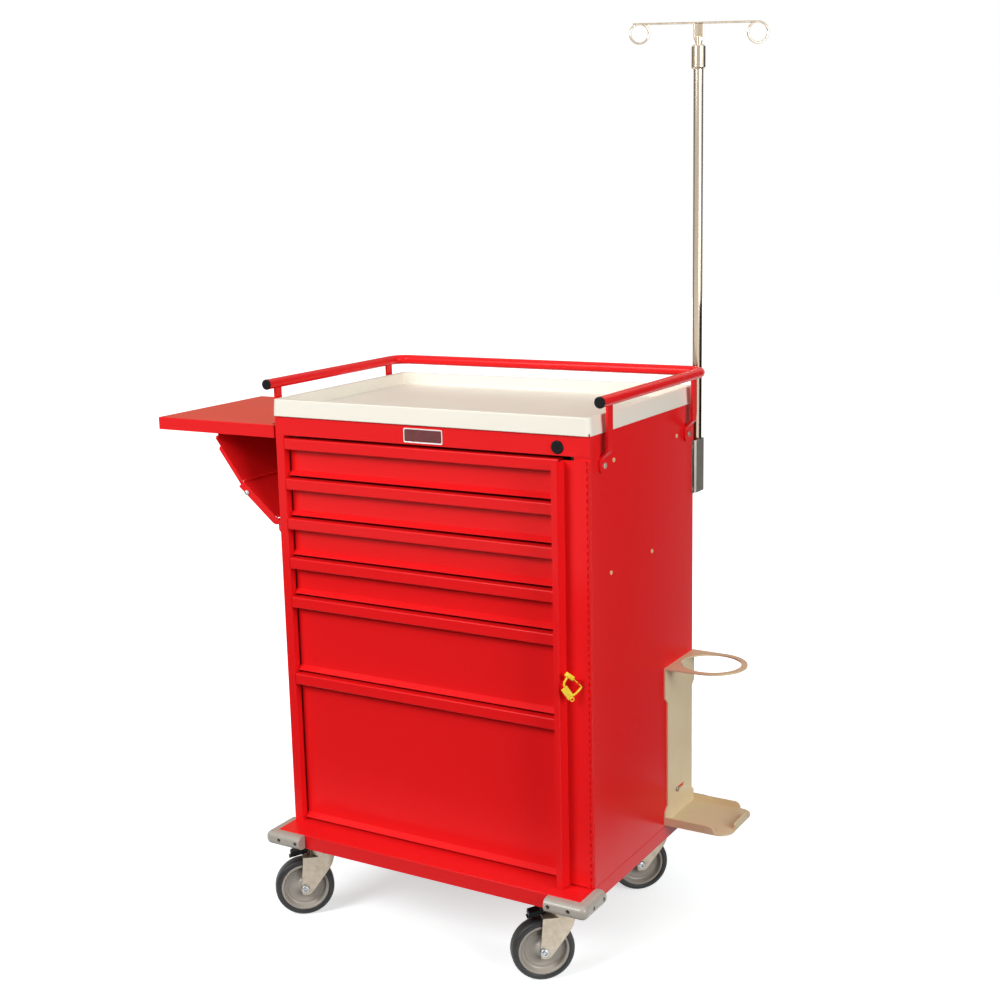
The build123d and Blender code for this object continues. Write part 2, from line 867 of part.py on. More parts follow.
def bumpers():
    z = base_bottom + base_height / 2
    low = z - bumper_height / 2
    high = z + bumper_height / 2
    pieces = []
    for sx, sy, edge in bumper_corners():
        ox = sx * (half + bumper_thick)
        oy = edge + sy * bumper_thick
        points = (
            (ox, oy),
            (ox - sx * bumper_leg, oy),
            (ox - sx * bumper_leg, edge),
            (sx * half, edge),
            (sx * half, oy - sy * bumper_leg),
            (ox, oy - sy * bumper_leg),
        )
        piece = upright(outline(points, (bumper_corner, 0, 0, 0, 0, 0)), low, high)
        outer = [
            item for item in piece.edges()
            if abs(item.center().Z - z) > 1
            and (abs(item.center().X - ox) < bumper_corner and abs(item.center().Y - oy) < bumper_corner
                 or abs(item.center().X - ox) < 0.01 or abs(item.center().Y - oy) < 0.01)
        ]
        piece = fillet(outer, bumper_round)
        for along in (bumper_screw_near, bumper_screw_far):
            x = ox - sx * along
            piece = piece - bar((x, oy, z), (x, oy - sy * bumper_hole_depth, z), bumper_hole)
            y = oy - sy * along
            piece = piece - bar((ox, y, z), (ox - sx * bumper_hole_depth, y, z), bumper_hole)
        pieces.append(piece)
    for line in bumper_screw_lines(m4_shank + bolt_clearance):
        pieces = [piece - line for piece in pieces]
    keep("corner_bumpers", *pieces)


# ---------------------------------------------------------------- lock bar
def lock_bar():
    path = (
        (lock_wall - lock_lip, -lock_reach),
        (lock_wall, -lock_reach),
        (lock_wall, -sheet),
        (half - lock_flange_end, -sheet),
    )
    rail = upright(folded(path), lock_low, lock_high)
    rail = fillet(rail.edges().filter_by(Axis.Y).group_by(Axis.X)[0], lock_corner)
    eye_x = half - eye_inset
    eye_z = base_top + eye_height
    slot = block(
        (eye_x - slot_width / 2, eye_x + slot_width / 2),
        (-sheet - 1, 1),
        (eye_z - slot_height / 2, eye_z + slot_height / 2),
    )
    x, y = lock_axis
    ring = Pos(x, y) * (Circle(knuckle) - Circle(pin_radius + pin_gap))
    span = (lock_low, lock_high)
    edge = x - knuckle - leaf_width
    root = x - knuckle + leaf_bite
    past = x + knuckle + 1
    front_leaf = outline(((edge, 0), (root, 0), (root, leaf), (edge, leaf)))
    rear_root = x - pin_radius - pin_gap
    rear_leaf = ((edge, leaf_plane), (rear_root, leaf_plane), (rear_root, stile_plane), (edge, stile_plane))
    bite = Pos(x, y) * Circle(pin_radius + pin_gap)

    def bay(low, high):
        return block((x - knuckle - part_gap, past), (y - knuckle - 1, y + knuckle + 1), (low, high))

    def flange_bay(low, high):
        return block((x - knuckle - part_gap, half), (-sheet - 1, 1), (low, high))

    moving = upright(ring, *span) + upright(front_leaf, *span) - upright(bite, *span)
    fixed = upright(ring, *span) + upright(outline(rear_leaf), *span) - upright(bite, *span)
    rail = hinge_half(rail, False, span, lock_knuckle_pitch, flange_bay)
    keep("lock_hinge_moving", hinge_half(moving, False, span, lock_knuckle_pitch, bay))
    pin = bar((x, y, span[0]), (x, y, span[1]), pin_radius)
    keep("lock_hinge_fixed", hinge_half(fixed, True, span, lock_knuckle_pitch, bay), pin)

    z = (eye_z - eye_thick / 2, eye_z + eye_thick / 2)
    tongue = block((eye_x - eye_width / 2, eye_x + eye_width / 2), (-eye_reach, leaf), z)
    tips = tongue.edges().filter_by(Axis.Z).sort_by(Axis.Y)[:2]
    tongue = fillet(tips, 4)
    back = block((eye_x - eye_width / 2, eye_x + eye_width / 2), (0, leaf), (z[0] - 9, z[1]))
    keep("lock_bar", rail - slot, tongue + back - seal_cutter(eye_x, eye_z))


def seal_frame(eye_x, eye_z):
    """The plane in which the seal hangs, with its origin at the eye."""
    aim = (cos(radians(seal_turn)), sin(radians(seal_turn)), 0)
    facing = (sin(radians(seal_turn)), -cos(radians(seal_turn)), 0)
    return Plane(origin=(eye_x, -eye_reach + 4.5, eye_z), x_dir=aim, z_dir=facing)


def seal_rod_ends():
    """Start and end of the rod in the seal's own plane."""
    return (-6.7, 9.7), (10.1, -7.9)


def seal_cutter(eye_x, eye_z):
    frame = seal_frame(eye_x, eye_z)
    (ax, az), (bx, bz) = seal_rod_ends()
    start = frame.from_local_coords(Vector(ax, az, 0))
    end = frame.from_local_coords(Vector(bx, bz, 0))
    return bar(tuple(start), tuple(end), seal_rod + 1.0)


def seal():
    eye_x = half - eye_inset
    eye_z = base_top + eye_height
    frame = seal_frame(eye_x, eye_z)
    (ax, az), (bx, bz) = seal_rod_ends()
    start = frame.from_local_coords(Vector(ax, az, 0))
    end = frame.from_local_coords(Vector(bx, bz, 0))
    rod = bar(tuple(start), tuple(end), seal_rod)

    def strip(points, thick):
        """A moulded strip along a path in the seal's plane."""
        shape = None
        for (x0, z0), (x1, z1) in zip(points, points[1:]):
            length = hypot(x1 - x0, z1 - z0)
            angle = degrees(atan2(z1 - z0, x1 - x0))
            place = Pos((x0 + x1) / 2, (z0 + z1) / 2) * Rot(0, 0, angle)
            piece = place * SlotCenterToCenter(length, thick)
            shape = piece if shape is None else shape + piece
        return shape

    loop = strip(((bx, bz), (-8.4, -22.0), (-24.0, 2.0), (-17.0, 14.0)), 3.6)
    lock = Pos(-12.6, 14.2) * Rot(0, 0, -38) * RectangleRounded(19, 8.5, 3)
    tag = Pos(-17.0, -14.5) * Rot(0, 0, -56) * RectangleRounded(25, 13, 1)
    ring = Pos(-8.2, -27.5) * (Circle(4.2) - Circle(2.2))
    half_thick = seal_thick / 2
    body = extrude(frame * loop, half_thick, both=True)
    body = body + extrude(frame * lock, 3.4, both=True)
    body = body + extrude(frame * tag, 0.7, both=True)
    body = body + extrude(frame * ring, 1.0, both=True)
    keep("seal", body - bar(tuple(start), tuple(end), seal_rod), rod)


# ---------------------------------------------------------------- pole
def pole_bracket():
    lap = half + bracket_sheet
    web = half + bracket_gap
    path = (
        (lap, depth - bracket_lap),
        (lap, depth + 0.5),
        (web, depth + 0.5 + (web - lap)),
        (web, depth + bracket_reach),
        (web - bracket_flange, depth + bracket_reach),
    )
    bracket = upright(folded(path, bracket_sheet), bracket_bottom, bracket_top)
    screws = []
    for y, z in pole_screw_places():
        bracket = bracket - side_hole(1, y, z, m4_shank + bolt_clearance)
        screws.append(side_bolt(1, y, z, lap, m4_shank, m4_head, m4_head_height, 6))
    keep("pole_bracket", bracket, *screws)


def twisted_neck():
    """The flattened head of the rod, and the neck where it turns into the round."""
    x, y = pole_x, pole_y
    stem = bar((x, y, collar_top - rod_insert), (x, y, head_bottom + 2), rod_radius)
    blade_at = Pos(x, y, (head_bottom + head_top) / 2) * Rot(0, 0, hook_turn)
    blade = blade_at * Box(head_width, head_thick, head_height)
    blade = fillet(blade.edges().filter_by(Axis.Z), 1.5)
    low = Plane(origin=(x, y, head_bottom - 9)) * Circle(rod_radius)
    high_at = Plane(origin=(x, y, head_bottom)) * Rot(0, 0, hook_turn)
    high = high_at * RectangleRounded(head_width, head_thick, 1.5)
    neck = loft([low.face(), high.face()])
    return stem + neck + blade


def pole():
    x, y = pole_x, pole_y
    tube = bar((x, y, bracket_bottom), (x, y, pole_top), pole_radius)
    tube = tube - bar((x, y, bracket_bottom - 1), (x, y, pole_top + 1), pole_radius - pole_wall)
    keep("pole_tube", tube)

    collar = bar((x, y, collar_bottom), (x, y, collar_top), pole_collar_radius)
    collar = chamfer(collar.edges().filter_by(GeomType.CIRCLE), pole_collar_chamfer)
    collar = collar - bar((x, y, collar_bottom - 1), (x, y, pole_top), pole_radius + rod_gap)
    collar = collar - bar((x, y, pole_top - 1), (x, y, collar_top + 1), rod_radius + rod_gap)
    keep("pole_collar", collar)

    rod = twisted_neck()
    low = collar_top - rod_insert
    guide = bar((x, y, low), (x, y, low + guide_height), pole_radius - pole_wall - rod_gap)
    guide = guide - bar((x, y, low - 1), (x, y, low + guide_height + 1), rod_radius)
    keep("pole_rod", rod, guide)
    keep("hook_bar", hook_bar())


def hook_bar():
    """One wire: a loop under each end of a straight crossbar."""
    frame = Plane(origin=(pole_x, pole_y, hook_z),
                  x_dir=(cos(radians(hook_turn)), sin(radians(hook_turn)), 0),
                  z_dir=(sin(radians(hook_turn)), -cos(radians(hook_turn)), 0))
    a = hook_span / 2
    span = frame.from_local_coords(Vector(-a - hook_tail, 0, 0)), frame.from_local_coords(Vector(a, 0, 0))
    wire = bar(tuple(span[0]), tuple(span[1]), hook_wire)
    for side, radius in ((-1, hook_radius_left), (1, hook_radius_right)):
        # A loop leaves the bar along its tangent and drops behind it by a wire's thickness.
        steps = 40
        loop = []
        for index in range(steps + 1):
            share = index / steps
            angle = radians(90 - side * 360 * hook_loop_turns * share)
            off = 2.1 * hook_wire * share
            along = side * a + radius * cos(angle)
            loop.append(frame.from_local_coords(Vector(along, radius * (sin(angle) - 1), off)))
        path = Spline(*loop, tangents=(frame.x_dir * side, (loop[-1] - loop[-2]).normalized()))
        start = Plane(origin=path @ 0, z_dir=path % 0)
        wire = wire + sweep(start * Circle(hook_wire), path=path)
    return wire


# ---------------------------------------------------------------- cylinder bracket
def tank_bracket():
    inner = half
    outer = half + tank_sheet
    wide = tank_wide / 2
    narrow = tank_narrow / 2
    s = tank_shoulder
    low = tank_bottom
    points = (
        (tank_y - wide, low),
        (tank_y + wide, low),
        (tank_y + wide, tank_narrow_low - s),
        (tank_y + narrow, tank_narrow_low),
        (tank_y + narrow, tank_narrow_high),
        (tank_y + wide, tank_narrow_high + s),
        (tank_y + wide, tank_top),
        (tank_y - wide, tank_top),
        (tank_y - wide, tank_narrow_high + s),
        (tank_y - narrow, tank_narrow_high),
        (tank_y - narrow, tank_narrow_low),
        (tank_y - wide, tank_narrow_low - s),
    )
    back = along_x(outline(points), inner, outer)

    ring_x = half + tank_ring_reach
    ring_r = tank_ring_bore + tank_ring_width
    ring = upright(Pos(ring_x, tank_y) * Circle(ring_r), tank_top - tank_sheet, tank_top)
    apron = (
        (inner, tank_y - wide),
        (ring_x, tank_y - ring_r),
        (ring_x, tank_y + ring_r),
        (inner, tank_y + wide),
    )
    ring = ring + upright(outline(apron), tank_top - tank_sheet, tank_top)
    ring = ring - upright(Pos(ring_x, tank_y) * Circle(tank_ring_bore), tank_top - 9, tank_top + 9)
    inside = (half - 2 * ring_r, half)
    ring = ring - block(inside, (tank_y - ring_r, tank_y + ring_r), (tank_top - 9, tank_top + 9))

    end = half + tank_tray_reach
    side_end = half + tank_side_reach
    lip = tank_lip_width / 2
    floor_points = (
        (inner, tank_y - wide),
        (end, tank_y - wide),
        (end, tank_y + wide),
        (inner, tank_y + wide),
    )
    floor = upright(outline(floor_points, (0, tank_corner, tank_corner, 0)), low, low + tank_sheet)
    high = low + tank_sheet + tank_flange
    cheeks = []
    for side in (-1, 1):
        edge = tank_y + side * wide
        y = (edge - tank_sheet, edge) if side > 0 else (edge, edge + tank_sheet)
        cheek = block((inner, side_end), y, (low, high))
        corner = cheek.edges().filter_by(Axis.Y).sort_by(lambda e: e.center().X + e.center().Z)[-1]
        cheeks.append(fillet(corner, tank_flange - 1))
    stop = block((end - tank_sheet, end), (tank_y - lip + 4, tank_y + lip - 4), (low, high))
    stop_corners = stop.edges().filter_by(Axis.X).group_by(Axis.Z)[-1]
    stop = fillet(stop_corners, 4)
    bracket = back + ring + floor + stop
    for cheek in cheeks:
        bracket = bracket + cheek
    slot_face = Plane(origin=(inner - 1, tank_y, tank_slot_z), x_dir=(0, 1, 0), z_dir=(1, 0, 0))
    slot = SlotOverall(tank_slot_length, 2 * m6_shank + 1)
    bracket = bracket - extrude(slot_face * slot, tank_sheet + 2)
    bracket = bracket - side_hole(1, tank_y, tank_bolt_z, m6_shank + bolt_clearance)
    keep("tank_bracket", bracket)


# ---------------------------------------------------------------- shelf
def shelf():
    front = shelf_front
    rear = shelf_front + shelf_depth
    pan = block((shelf_outer, shelf_inner), (front, rear), (shelf_bottom, shelf_top))
    pan = fillet(pan.edges().filter_by(Axis.Z), 1.2)
    pan = fillet(pan.faces().sort_by(Axis.Z)[-1].edges(), 1.0)
    room = block(
        (shelf_outer + sheet, shelf_inner - sheet),
        (front + sheet, rear - sheet),
        (shelf_bottom - 1, shelf_top - sheet),
    )
    notch_half = rail_tab_width / 2 + shelf_notch_gap
    notch = block(
        (shelf_inner - shelf_notch, shelf_inner + 1),
        (rail_post_front_left - notch_half, rail_post_front_left + notch_half),
        (shelf_bottom - 1, shelf_top + 1),
    )

    x, z = shelf_axis
    span = (shelf_hinge_front, shelf_hinge_rear)
    ring = Pos(x, z) * (Circle(shelf_knuckle) - Circle(pin_radius + pin_gap))
    bite = Pos(x, z) * Circle(pin_radius + pin_gap)
    wing = outline(((shelf_inner, z - 0.5), (shelf_inner + leaf, z - 0.5),
                    (shelf_inner + leaf, shelf_top - 4), (shelf_inner, shelf_top - 4)))
    wall = outline(((-half - leaf, z - 15), (-half, z - 15), (-half, z + 0.5), (-half - leaf, z + 0.5)))
    reach = shelf_knuckle + part_gap

    def wing_bay(low, high):
        return block((x - reach - 1, x + reach), (low, high), (z - reach, z + reach))

    def wall_bay(low, high):
        return block((x - reach, x + reach + 1), (low, high), (z - reach, z + reach))

    moving = along_y(ring, *span) + along_y(wing, *span) - along_y(bite, *span)
    fixed = along_y(ring, *span) + along_y(wall, *span) - along_y(bite, *span)
    wing_leaf = hinge_half(moving, False, span, knuckle_pitch, wing_bay)
    keep("shelf_panel", pan - room - notch, wing_leaf)
    pin = bar((x, span[0], z), (x, span[1], z), pin_radius)
    keep("shelf_hinge_fixed", hinge_half(fixed, True, span, knuckle_pitch, wall_bay), pin)


def leaf_length(start, end):
    return hypot(end[0] - start[0], end[1] - start[1])


def leaf_angle(start, end):
    return degrees(atan2(end[1] - start[1], end[0] - start[0])) % 360


def brace():
    """Two full-depth leaves between the cabinet side and the shelf."""
    front = brace_front
    rear = brace_rear
    reach = brace_knuckle + part_gap
    ring = Circle(brace_knuckle) - Circle(pin_radius + pin_gap)
    bite = Circle(pin_radius + pin_gap)
    span = (front + brace_barrel_inset, rear - brace_barrel_inset)
    inside = (span[0] + knuckle_pitch / 2, span[1] - knuckle_pitch / 2)
    low_angle = leaf_angle(wall_pivot, knee)
    high_angle = leaf_angle(knee, tip)
    low_length = leaf_length(wall_pivot, knee)
    high_length = leaf_length(knee, tip)
    t = sheet

    def barrel(at, face=ring):
        return along_y(face, *span, origin=at)

    def bay_about(at, radius):
        def bay(low, high):
            return bar((at[0], low, at[1]), (at[0], high, at[1]), radius)
        return bay

    # Lower leaf: sheet and flanges lie on the outer side of the line between its pivots.
    s0 = 1.0
    web = along_y(outline(((s0, 0), (low_length - s0, 0), (low_length - s0, t), (s0, t))),
                  *span, origin=wall_pivot, angle=low_angle)
    splay = tan(radians(low_angle - high_angle) / 2)
    end = low_length - part_gap / 2
    tip_end = end + splay * brace_low_flange
    ear_points = ((0, 0.3), (end, 0.3), (tip_end, brace_low_flange), (0, brace_low_flange))
    ear = outline(ear_points)
    heel = Circle(brace_low_flange)
    wide = 4 * brace_low_flange
    lower = web + barrel(wall_pivot) + barrel(knee)
    root = hinge_half(lower, True, span, knuckle_pitch, bay_about(wall_pivot, reach + 1.4))
    root = hinge_half(root, True, span, knuckle_pitch, bay_about(knee, reach))
    for y in (front, rear - t):
        cheek = along_y(ear, y, y + t, origin=wall_pivot, angle=low_angle)
        foot = along_y(heel, y, y + t, origin=wall_pivot)
        above = along_y(outline(((-wide, 0.3), (wide, 0.3), (wide, wide), (-wide, wide))), y - 1, y + t + 1,
                        origin=wall_pivot, angle=low_angle + 180)
        cheek = cheek + (foot - above)
        floor_y = (front, inside[0]) if y == front else (inside[1], rear)
        near, far = reach + 1.5, low_length - reach
        strip = outline(((near, 0), (far, 0), (far, t), (near, t)))
        joint = along_y(strip, *floor_y, origin=wall_pivot, angle=low_angle)
        root = root + cheek + joint
    root = root - barrel(wall_pivot, bite) - barrel(knee, bite)
    for at in (wall_pivot, knee):
        root = root - along_y(bite, front - 1, rear + 1, origin=at)
    bolt_at = (low_length - brace_bolt_along, brace_bolt_out)
    frame = Plane(origin=(wall_pivot[0], 0, wall_pivot[1]),
                  x_dir=(cos(radians(low_angle)), 0, sin(radians(low_angle))), z_dir=(0, -1, 0))
    centre = frame.from_local_coords(Vector(*bolt_at, 0))
    bolt_hole = m4_shank + bolt_clearance
    root = root - bar((centre.X, front - 1, centre.Z), (centre.X, front + t + 1, centre.Z), bolt_hole)
    head = bar((centre.X, front, centre.Z), (centre.X, front - 2.2, centre.Z), m4_head)
    shank = bar((centre.X, front, centre.Z), (centre.X, front + 6, centre.Z), m4_shank)
    knee_pin = along_y(Circle(pin_radius), *span, origin=knee)
    keep("brace_lower_leaf", root, head + shank, knee_pin)

    # Upper leaf.
    web = along_y(outline(((s0, 0), (high_length - s0, 0), (high_length - s0, t), (s0, t))),
                  *span, origin=knee, angle=high_angle)
    upper = web + barrel(knee) + barrel(tip, Circle(brace_knuckle))
    upper = hinge_half(upper, False, span, knuckle_pitch, bay_about(knee, reach))
    end = high_length - brace_flange_start
    start = part_gap / 2
    tip_start = start - splay * brace_high_flange
    ear_points = ((start, 0), (end, 0), (end, brace_high_flange), (tip_start, brace_high_flange))
    for y in (front, rear - t):
        ear = outline(ear_points, (0, 0, brace_high_flange * 0.6, 0))
        cheek = along_y(ear, y, y + t, origin=knee, angle=high_angle)
        floor_y = (front, inside[0]) if y == front else (inside[1], rear)
        strip = outline(((reach, 0), (high_length - s0, 0), (high_length - s0, t), (reach, t)))
        joint = along_y(strip, *floor_y, origin=knee, angle=high_angle)
        upper = upper + cheek + joint
    upper = upper - along_y(bite, *span, origin=knee)
    keep("brace_upper_leaf", upper)

    # Wall bracket: a sloped web from the cabinet side out to the lower pivot.
    foot = (-half - t - 0.5, wall_pivot[1] - brace_foot)
    slope = leaf_angle(wall_pivot, foot)
    run = leaf_length(wall_pivot, foot)
    web = along_y(outline(((s0, 0), (run, 0), (run, t), (s0, t))), *span, origin=wall_pivot, angle=slope)
    plate = block((-half - t, -half), span, (foot[1] - 1, wall_pivot[1] + 6))
    bracket = web + plate + barrel(wall_pivot) - barrel(wall_pivot, bite)
    bracket = hinge_half(bracket, False, span, knuckle_pitch, bay_about(wall_pivot, reach + 1.4))
    beyond = block((-half, -half + 9), (front - 9, rear + 9), (foot[1] - 20, wall_pivot[1] + 20))
    bracket = bracket - beyond
    for y in (span[0], span[1] - t):
        gusset = (
            (-half, foot[1] - 3),
            (-half - t - 3.5, foot[1] - 3),
            (wall_pivot[0] + t + 1, wall_pivot[1] - brace_low_flange - 11),
            (wall_pivot[0] + t + 1, wall_pivot[1] - 12),
            (wall_pivot[0] + 4.5, wall_pivot[1] - 3),
            (-half, wall_pivot[1] - 13),
        )
        bracket = bracket + along_y(outline(gusset), y, y + t)
    wall_pin = along_y(Circle(pin_radius), *span, origin=wall_pivot)
    keep("brace_wall_bracket", bracket, wall_pin)

    # Saddle under the shelf: the web stands inboard of the tip, which is free to leave it.
    ceiling = shelf_top - sheet
    inboard = tip[0] + reach
    points = (
        (inboard, tip[1] + 1.0),
        (inboard + t, tip[1] + 1.0),
        (inboard + t, ceiling - t),
        (inboard + saddle_flange, ceiling - t),
        (inboard + saddle_flange, ceiling),
        (inboard, ceiling),
    )
    keep("brace_shelf_bracket", along_y(outline(points), *span))


# ---------------------------------------------------------------- casters
def fork_outline(half_width):
    """Plan of the fork about its swivel axis: straight legs and a round back."""
    straight = Pos(-caster_trail / 2 - 4, 0) * Rectangle(caster_trail + 8, 2 * half_width)
    return straight + Circle(half_width)


def pedal_lug(crown_z):
    """A lug that stands on a fork's crown, and the pin across it."""
    pivot_u = pedal_pivot_u - caster_trail
    pivot_z = wheel_radius + pedal_pivot_h
    points = (
        (pivot_u - lug_radius, crown_z - fork_sheet),
        (pivot_u + lug_radius, crown_z - fork_sheet),
        (pivot_u + lug_radius, pivot_z + lug_radius),
        (pivot_u - lug_radius, pivot_z + lug_radius),
    )
    lug = along_y(outline(points, (0, 0, lug_radius * 0.9, lug_radius * 0.9)), -lug_half, lug_half)
    return lug + bar((pivot_u, -lever_half, pivot_z), (pivot_u, lever_half, pivot_z), pedal_pin)


def caster(name, x, y, brake):
    turn = Pos(x, y, 0) * Rot(0, 0, caster_turn)
    axle_z = wheel_radius
    crown_z = axle_z + fork_top
    back = -caster_trail

    # Fork: the plan shell cut to the side view of a leg.
    wall = fork_outline(fork_half) - fork_outline(fork_half - fork_sheet)
    shell = upright(wall, axle_z - fork_foot, crown_z)
    side = (
        (back - 7, axle_z - fork_foot),
        (back + 10, axle_z - fork_foot),
        (fork_front - 7.5, crown_z - 19),
        (fork_front, crown_z),
        (back - 2, crown_z),
        (back - 7, axle_z + 2),
    )
    leg = along_y(outline(side, (6, 10, 0, 0, 0, 0)), -fork_half - 1, fork_half + 1)
    crown = upright(fork_outline(fork_half), crown_z - fork_sheet, crown_z)
    crown = crown & along_y(outline(side), -fork_half - 1, fork_half + 1)
    fork = (shell & leg) + crown
    fork = fork + upright(Circle(swivel_radius - 3), crown_z, crown_z + 4)
    axle_hole = axle_radius + bolt_clearance
    fork = fork - bar((back, -fork_half - 1, axle_z), (back, fork_half + 1, axle_z), axle_hole)
    fork = fork - bar((0, 0, crown_z - 9), (0, 0, crown_z + 9), king_radius + axle_gap)
    bolt = bar((back, -fork_half, axle_z), (back, fork_half, axle_z), axle_radius)
    heads = []
    for way in (-1, 1):
        head = bar((back, way * fork_half, axle_z), (back, way * (fork_half + 3.5), axle_z), axle_head)
        rims = head.edges().filter_by(GeomType.CIRCLE).sort_by(Axis.Y)
        heads.append(fillet(rims[-1] if way > 0 else rims[0], 1.6))
    if brake:
        fork = fork + pedal_lug(crown_z)
    keep(f"{name}_fork", turn * fork, turn * (bolt + heads[0] + heads[1]))

    # Wheel core: rim, dished web and hub, bored for the axle bolt.
    hub = wheel_half + 1.6
    section = (
        (axle_radius + axle_gap, -hub),
        (12.5, -hub),
        (15, -10),
        (20, -6),
        (rim_radius - 6.5, -5),
        (rim_radius - 4, -wheel_half + 1.0),
        (rim_radius, -wheel_half + 1.0),
        (rim_radius, wheel_half - 1.0),
        (rim_radius - 4, wheel_half - 1.0),
        (rim_radius - 6.5, 5),
        (20, 6),
        (15, 10),
        (12.5, hub),
        (axle_radius + axle_gap, hub),
    )
    wheel_at = turn * Pos(back, 0, axle_z)
    core = revolve(Plane.XY * outline(section), Axis.Y)
    tyre_section = (
        (rim_radius, -wheel_half + 1.0),
        (rim_radius + 2, -wheel_half),
        (wheel_radius, -wheel_half),
        (wheel_radius, wheel_half),
        (rim_radius + 2, wheel_half),
        (rim_radius, wheel_half - 1.0),
    )
    tyre = revolve(Plane.XY * outline(tyre_section, (0, 0, 5.5, 5.5, 0, 0)), Axis.Y)
    keep(f"{name}_wheel", wheel_at * core)
    keep(f"{name}_tyre", wheel_at * tyre)

    if brake:
        # Pedal: a black pad on a steel lever that pivots on the fork crown.
        pivot_u = back + pedal_pivot_u
        pivot_z = axle_z + pedal_pivot_h
        place = {"origin": (pivot_u, pivot_z), "angle": pedal_angle}
        tail = -pedal_length
        pad_points = ((tail, 1.0), (-10, 1.0), (-10, 9.5), (tail + 3, 9.5))
        arm_points = ((-11, 1.0), (0, 1.0), (0, 3.0), (-11, 8.0))
        lever_points = ((tail - 2, -1.0), (0, -1.0), (0, 1.0), (tail - 2, 1.0))
        pad = along_y(outline(pad_points, (2, 0, 3, 3)), -pedal_half, pedal_half, **place)
        arm = along_y(outline(arm_points), -lever_half, lever_half, **place)
        lever = along_y(outline(lever_points), -lever_half, lever_half, **place)
        hub = bar((pivot_u, -lever_half, pivot_z), (pivot_u, lever_half, pivot_z), pedal_boss)
        bore = bar((pivot_u, -fork_half, pivot_z), (pivot_u, fork_half, pivot_z), pedal_pin + axle_gap)
        slot_points = (
            (pivot_u - pedal_boss - 1, pivot_z - pedal_boss - 1),
            (pivot_u + pedal_boss + 1, pivot_z - pedal_boss - 1),
            (pivot_u + pedal_boss + 1, pivot_z + pedal_boss + 6),
            (pivot_u - pedal_boss - 1, pivot_z + pedal_boss + 6),
        )
        slot = along_y(outline(slot_points), -lug_half - part_gap, lug_half + part_gap)
        keep(f"{name}_brake_pedal", turn * (pad + arm + hub - bore - slot), turn * (lever - hub - slot))


def caster_plate(x, y):
    """Top plate, bearing cup and kingpin of one caster."""
    crown_z = wheel_radius + fork_top
    cup_low = crown_z + 4 + part_gap
    top = caster_height
    plate = block((-plate_top_width / 2, plate_top_width / 2), (-plate_top_length / 2, plate_top_length / 2),
                  (top - plate_top_thick, top))
    plate = fillet(plate.edges().filter_by(Axis.Z), 6)
    cup = bar((0, 0, cup_low), (0, 0, top - plate_top_thick), swivel_radius)
    king = bar((0, 0, crown_z - fork_sheet - part_gap), (0, 0, cup_low), king_radius)
    king_head = bar((0, 0, crown_z - fork_sheet - part_gap - 3), (0, 0, crown_z - fork_sheet - part_gap), 9)
    body = plate + cup + king + king_head
    for sx in (-1, 1):
        for sy in (-1, 1):
            bx = sx * (plate_top_width / 2 - 9)
            by = sy * (plate_top_length / 2 - 9)
            body = body - bar((bx, by, top - 9), (bx, by, top + 9), m4_shank + 1 + bolt_clearance)
    return Pos(x, y, 0) * body


def casters():
    plates = []
    for name, x, y, brake in caster_places():
        caster(name, x, y, brake)
        plates.append(caster_plate(x, y))
    keep("caster_plates", *plates)


# ---------------------------------------------------------------- whole cart
def build():
    side_panels()
    shell_panels()
    base_pan()
    slide_posts()
    slide_channels()
    drawers()
    tray()
    guard_rail()
    fasteners()
    bumpers()
    lock_bar()
    seal()
    pole_bracket()
    pole()
    tank_bracket()
    shelf()
    brace()
    casters()


build()
everything = Compound([solid for solids in nodes.values() for solid in solids])
span = everything.bounding_box()
shift = Pos(-(span.min.X + span.max.X) / 2, -(span.min.Y + span.max.Y) / 2, -span.min.Z)

os.makedirs("parts", exist_ok=True)
for name, solids in nodes.items():
    placed = [shift * solid for solid in solids]
    shape = placed[0] if len(placed) == 1 else Compound(placed)
    export_step(shape, f"parts/{name}.step")
print(len(nodes), "nodes", sum(len(solids) for solids in nodes.values()), "solids")
print("size", span.size, "shift", shift.position)
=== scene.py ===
import bpy
import bmesh
import json
import math
from mathutils import Matrix, Vector


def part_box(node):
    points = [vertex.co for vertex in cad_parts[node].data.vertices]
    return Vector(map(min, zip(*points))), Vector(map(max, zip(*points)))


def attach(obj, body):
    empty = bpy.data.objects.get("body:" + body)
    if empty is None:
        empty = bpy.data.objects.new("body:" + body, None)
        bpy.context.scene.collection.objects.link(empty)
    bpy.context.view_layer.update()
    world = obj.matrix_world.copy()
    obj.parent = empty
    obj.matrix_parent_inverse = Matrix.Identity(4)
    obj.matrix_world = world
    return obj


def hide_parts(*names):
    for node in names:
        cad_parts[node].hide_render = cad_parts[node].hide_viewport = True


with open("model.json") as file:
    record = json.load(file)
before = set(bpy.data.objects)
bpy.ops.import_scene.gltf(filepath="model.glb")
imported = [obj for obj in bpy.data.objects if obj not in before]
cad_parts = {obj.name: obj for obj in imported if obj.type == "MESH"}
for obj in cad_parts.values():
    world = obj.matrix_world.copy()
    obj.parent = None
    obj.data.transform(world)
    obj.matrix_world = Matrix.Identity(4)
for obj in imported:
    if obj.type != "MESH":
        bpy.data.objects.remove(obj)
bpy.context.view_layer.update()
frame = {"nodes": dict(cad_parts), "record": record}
nodes = frame["nodes"]

# The header panel is centred on the cabinet, and its face is the plane of the drawer fronts.
headerLow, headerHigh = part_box("header_panel")
cabinetX = (headerLow.x + headerHigh.x) / 2
cabinetY = headerLow.y
print("frame loaded:", len(nodes), "nodes")


def spot(x, y, z):
    # a point in the cabinet's own millimetres, as a place in the frame
    return Vector((cabinetX + x / 1000, cabinetY + y / 1000, z / 1000))


# finishes: two close tones, a gloss that changes a little, and a fine grain

